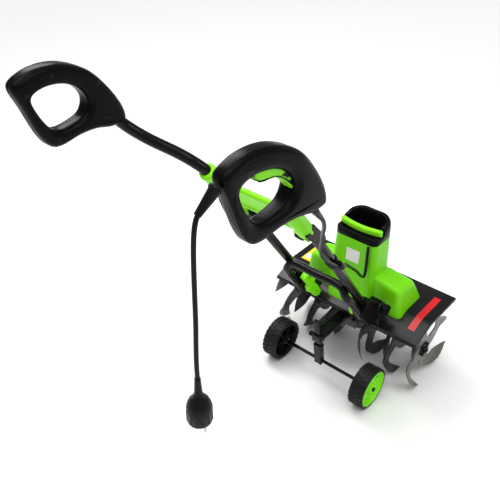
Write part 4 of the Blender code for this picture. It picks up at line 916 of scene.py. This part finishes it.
def make_handles():
    grip = make_handle()
    left = twin(grip, "handle left")
    face, half_slot, half_trigger = HANDLE_SPOT - HANDLE_HALF, 0.0088, 0.0080
    outline = smooth_loop(TRIGGER_OUTER + TRIGGER_INNER, 3)
    slots = []
    for angle in (-0.5, 1.5, 3.5, 5.5, 7.0):
        slot = plate("slot", [inset(outline, -0.0015)], HANDLE_SPOT - half_slot,
                     HANDLE_SPOT + half_slot, "X", black)
        slots.append(turn_about(slot, *TRIGGER_AXIS, math.radians(angle)))
    slots.append(x_rod("button hole", face - 0.01, face + 0.0165, LOCK_SPOT, 0.0060, black))
    show(cut(grip, *slots), "upper_handle", "black_plastic", "handle_right_inner",
         "handle_right_outer")
    show(left, "upper_handle", "black_plastic", "handle_left_inner", "handle_left_outer")
    trigger = plate("trigger", [outline], HANDLE_SPOT - half_trigger, HANDLE_SPOT + half_trigger,
                    "X", bright, 0.0026, 4)
    show(trigger, "trigger_body", "bright_lime_plastic", "trigger")
    button = x_rod("lock button", face - 0.0035, face + 0.0090, LOCK_SPOT, 0.0055, bright, 40,
                   0.0012)
    show(button, "lock_button_body", "bright_lime_plastic", "lock_button")
    for place in HANDLE_SCREWS:
        for side in (-1, 1):
            screw("handle screw", (side * (face - 0.0004), *place), (-side, 0, 0), 0.0032,
                  "upper_handle")


# ---- Cords ----
def make_cords():
    make_mains()
    base = rod("cable relief", (0.2290, -0.5905, 0.8250), (0.2286, -0.5770, 0.8090), 0.0060,
               rubber, 36, bevel=0.0008)
    cone = rod("cone", (0.2286, -0.5775, 0.8096), (0.2275, -0.5600, 0.7895), 0.0056, rubber, 36,
               end_radius=0.0040)
    show(join(base, cone), "upper_handle", "rubber", "cable_relief")
    for name, route, bodies, start, end in (
            ("motor cable upper", CABLE_UPPER, ("lower_frame", "upper_handle"), -1, 3),
            ("motor cable lower", CABLE_LOWER, ("chassis", "lower_frame"), 7, 1)):
        lead = tube(name, route, CORD_RADIUS, rubber, 10, 20)
        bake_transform(lead)
        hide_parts(name.replace(" ", "_"))
    make_cable_clip()


def make_mains():
    """The relief on the handle, the mains lead and its ribbed plug with two pins."""
    collar = rod("mains relief", (HANDLE_SPOT, -0.7735, 0.9345), (HANDLE_SPOT, -0.7785, 0.9316),
                 0.0098, rubber, 48, bevel=0.0015)
    cone = rod("cone", (HANDLE_SPOT, -0.7770, 0.9326), (HANDLE_SPOT, -0.8086, 0.9114), 0.0085,
               rubber, 48, end_radius=0.0048)
    relief = join(collar, rounded(cone, 0.0008, 3))
    show(relief, "upper_handle", "rubber", "mains_relief")
    mains = tube("mains cord", MAINS_CORD, CORD_RADIUS, rubber, 12, 24)
    show(mains, "upper_handle", "rubber", "mains_cord")
    middle, rib_count = Vector(MAINS_CORD[-1][:2]), 12
    profile = [
        (0.0, 0.5700), (0.0160, 0.5700), (0.0180, 0.5708), (0.0188, 0.5730), (0.0190, 0.5990),
        (0.0178, 0.6040), (0.0150, 0.6110), (0.0120, 0.6150), (0.0095, 0.6180), (0.0072, 0.6230),
        (0.0060, 0.6270), (0.0052, 0.6400), (0.0045, 0.6545), (0.0, 0.6550)]
    plug = turned("mains plug", profile, (*middle, 0), "Z", rubber, 64)
    rims = [middle + ray(math.tau * k / rib_count, 0.0178) for k in range(rib_count)]
    ribs = [rod("rib", (*rim, 0.5760), (*rim, 0.5960), 0.0020, rubber, 12) for rim in rims]
    seats = [middle + Vector((side * 0.0095, 0)) for side in (-1, 1)]
    pins = [rod("pin", (*seat, 0.5710), (*seat, 0.5510), 0.0024, bright_metal, 24, bevel=0.0008)
            for seat in seats]
    plug, pins = merged(plug, *ribs), merged(*pins)
    show(plug, "upper_handle", "rubber", "mains_plug")
    show(pins, "upper_handle", "bright_steel")
    line = smooth_path(MAINS_CORD, 12)


def make_cable_clip():
    """A collar round the right lower tube, with a nose that holds the motor cable."""
    height, reach, bore_reach = 0.4985, 0.010, 0.03
    middle = Vector((tube_point(height), height))
    along = (Vector(LOWER_TUBE_TOP) - Vector(LOWER_TUBE_FOOT)).normalized()
    ends = [(TUBE_SPOT, *(middle + along * shift))
            for shift in (-reach, reach, -bore_reach, bore_reach)]
    clip = rod("cable clip", *ends[:2], TUBE_RADIUS + 0.0032, black, 48, bevel=0.0010)
    nose = rod("nose", (0.1105, middle.x + 0.0060, height - 0.0072),
               (0.1105, middle.x - 0.0080, height + 0.0078), 0.0082, black, 40, bevel=0.0012)
    bore = rod("hole", *ends[2:], TUBE_RADIUS + 0.0003, black)
    show(cut(join(clip, nose), bore), "lower_frame", "black_plastic", "cable_clip")


# ---- Stickers ----
def make_label():
    """A thin blank label on the tower's rear face."""
    half, low, high, lift, thick, corner = 0.019, 0.322, 0.358, 0.0006, 0.0003, 0.002
    ring = [spot(x, -0.0665 + 0.0025 * (z - 0.300) / 0.086, z)
            for x, z in ((half, low), (half, high), (-half, high), (-half, low))]
    normal = (ring[1] - ring[0]).cross(ring[3] - ring[0]).normalized()
    work = bmesh.new()
    close_rings(work, [[work.verts.new(point + normal * height) for point in ring]
                       for height in (lift, lift + thick)])
    sides = [e for e in work.edges if abs((e.verts[0].co - e.verts[1].co).normalized()
                                          .dot(normal)) > 0.9]
    bmesh.ops.bevel(work, geom=sides, offset=corner, segments=4, profile=0.5, affect="EDGES")
    show(from_bmesh("number label", work, white), "chassis", "lime_plastic")


def hood_sticker(name, left, right, rear, front, look, lift=0.0002):
    """A thin sheet that follows the hood's upper face down its bend."""
    rows = [rear + (front - rear) * k / 24 for k in range(25)]
    section = [(y, hood_height(y) + lift + 0.0003) for y in rows]
    section += [(y, hood_height(y) + lift) for y in reversed(rows)]
    show(plate(name, [section], left, right, "X", look), "chassis", "hood_black")


def make_stickers():
    make_label()
    hood_sticker("hood stripe", 0.1725, 0.1905, -0.062, 0.073, red)
    hood_sticker("warning sticker", -0.1925, -0.1530, -0.012, 0.066, yellow)
    hood_sticker("warning panel", -0.1885, -0.1640, -0.002, 0.020, white, 0.0005)


make_hood()
make_body()
make_rotor()
make_wheels()
make_bracket()
make_lower_frame()
make_fold_joint()
make_handles()
make_cords()
make_stickers()

# ---- Floor, light and camera ----
floor_look = bpy.data.materials.new("floor")
floor_look.use_nodes = True
floor_shader = floor_look.node_tree.nodes["Principled BSDF"]
floor_shader.inputs["Base Color"].default_value = (0.86, 0.86, 0.85, 1)
floor_shader.inputs["Roughness"].default_value = 0.65
work = bmesh.new()
bmesh.ops.create_grid(work, x_segments=1, y_segments=1, size=6.0)
floor = add("floor", mesh_of("floor", work), floor_look)
floor.location = (0, 0, -0.0005)

world = bpy.data.worlds.new("studio")
scene.world = world
world.use_nodes = True
sky = world.node_tree.nodes["Background"]
sky.inputs["Color"].default_value = (1.0, 1.0, 1.0, 1)
sky.inputs["Strength"].default_value = 0.36
scene.view_settings.view_transform = "Standard"


def lamp(kind, name, power):
    made = bpy.data.objects.new(name, bpy.data.lights.new(name, kind))
    made.data.energy = power
    scene.collection.objects.link(made)
    return made


def sun(name, place, spread, strength):
    """A wide, even light from the direction of place."""
    made = lamp("SUN", name, strength)
    made.data.angle = math.radians(spread)
    made.rotation_euler = Vector(place).to_track_quat("Z", "Y").to_euler()


def softbox(place, aim, size, power):
    made = lamp("AREA", "softbox", power)
    made.data.shape = "RECTANGLE"
    made.data.size, made.data.size_y = size
    made.location = place
    made.rotation_euler = (Vector(aim) - Vector(place)).to_track_quat("-Z", "Y").to_euler()


sun("overhead", (0.05, -0.20, 1.0), 55, 2.05)
sun("side", (0.9, 0.35, 0.75), 30, 0.55)
softbox((-1.25, 0.45, 2.0), (0.1, 0.2, 0.3), (0.9, 1.1), 26)

azimuth, elevation = math.radians(40.4), math.radians(35.6)
back = Vector((math.sin(azimuth) * math.cos(elevation), -math.cos(azimuth) * math.cos(elevation),
               math.sin(elevation)))
camera = bpy.data.objects.new("camera", bpy.data.cameras.new("camera"))
camera.data.lens = 50.4
camera.data.sensor_width = 36.0
camera.location = spot(0.7125, -1.2940, 1.3568)
camera.rotation_mode = "QUATERNION"
camera.rotation_quaternion = back.to_track_quat("Z", "Y")
scene.collection.objects.link(camera)
scene.camera = camera
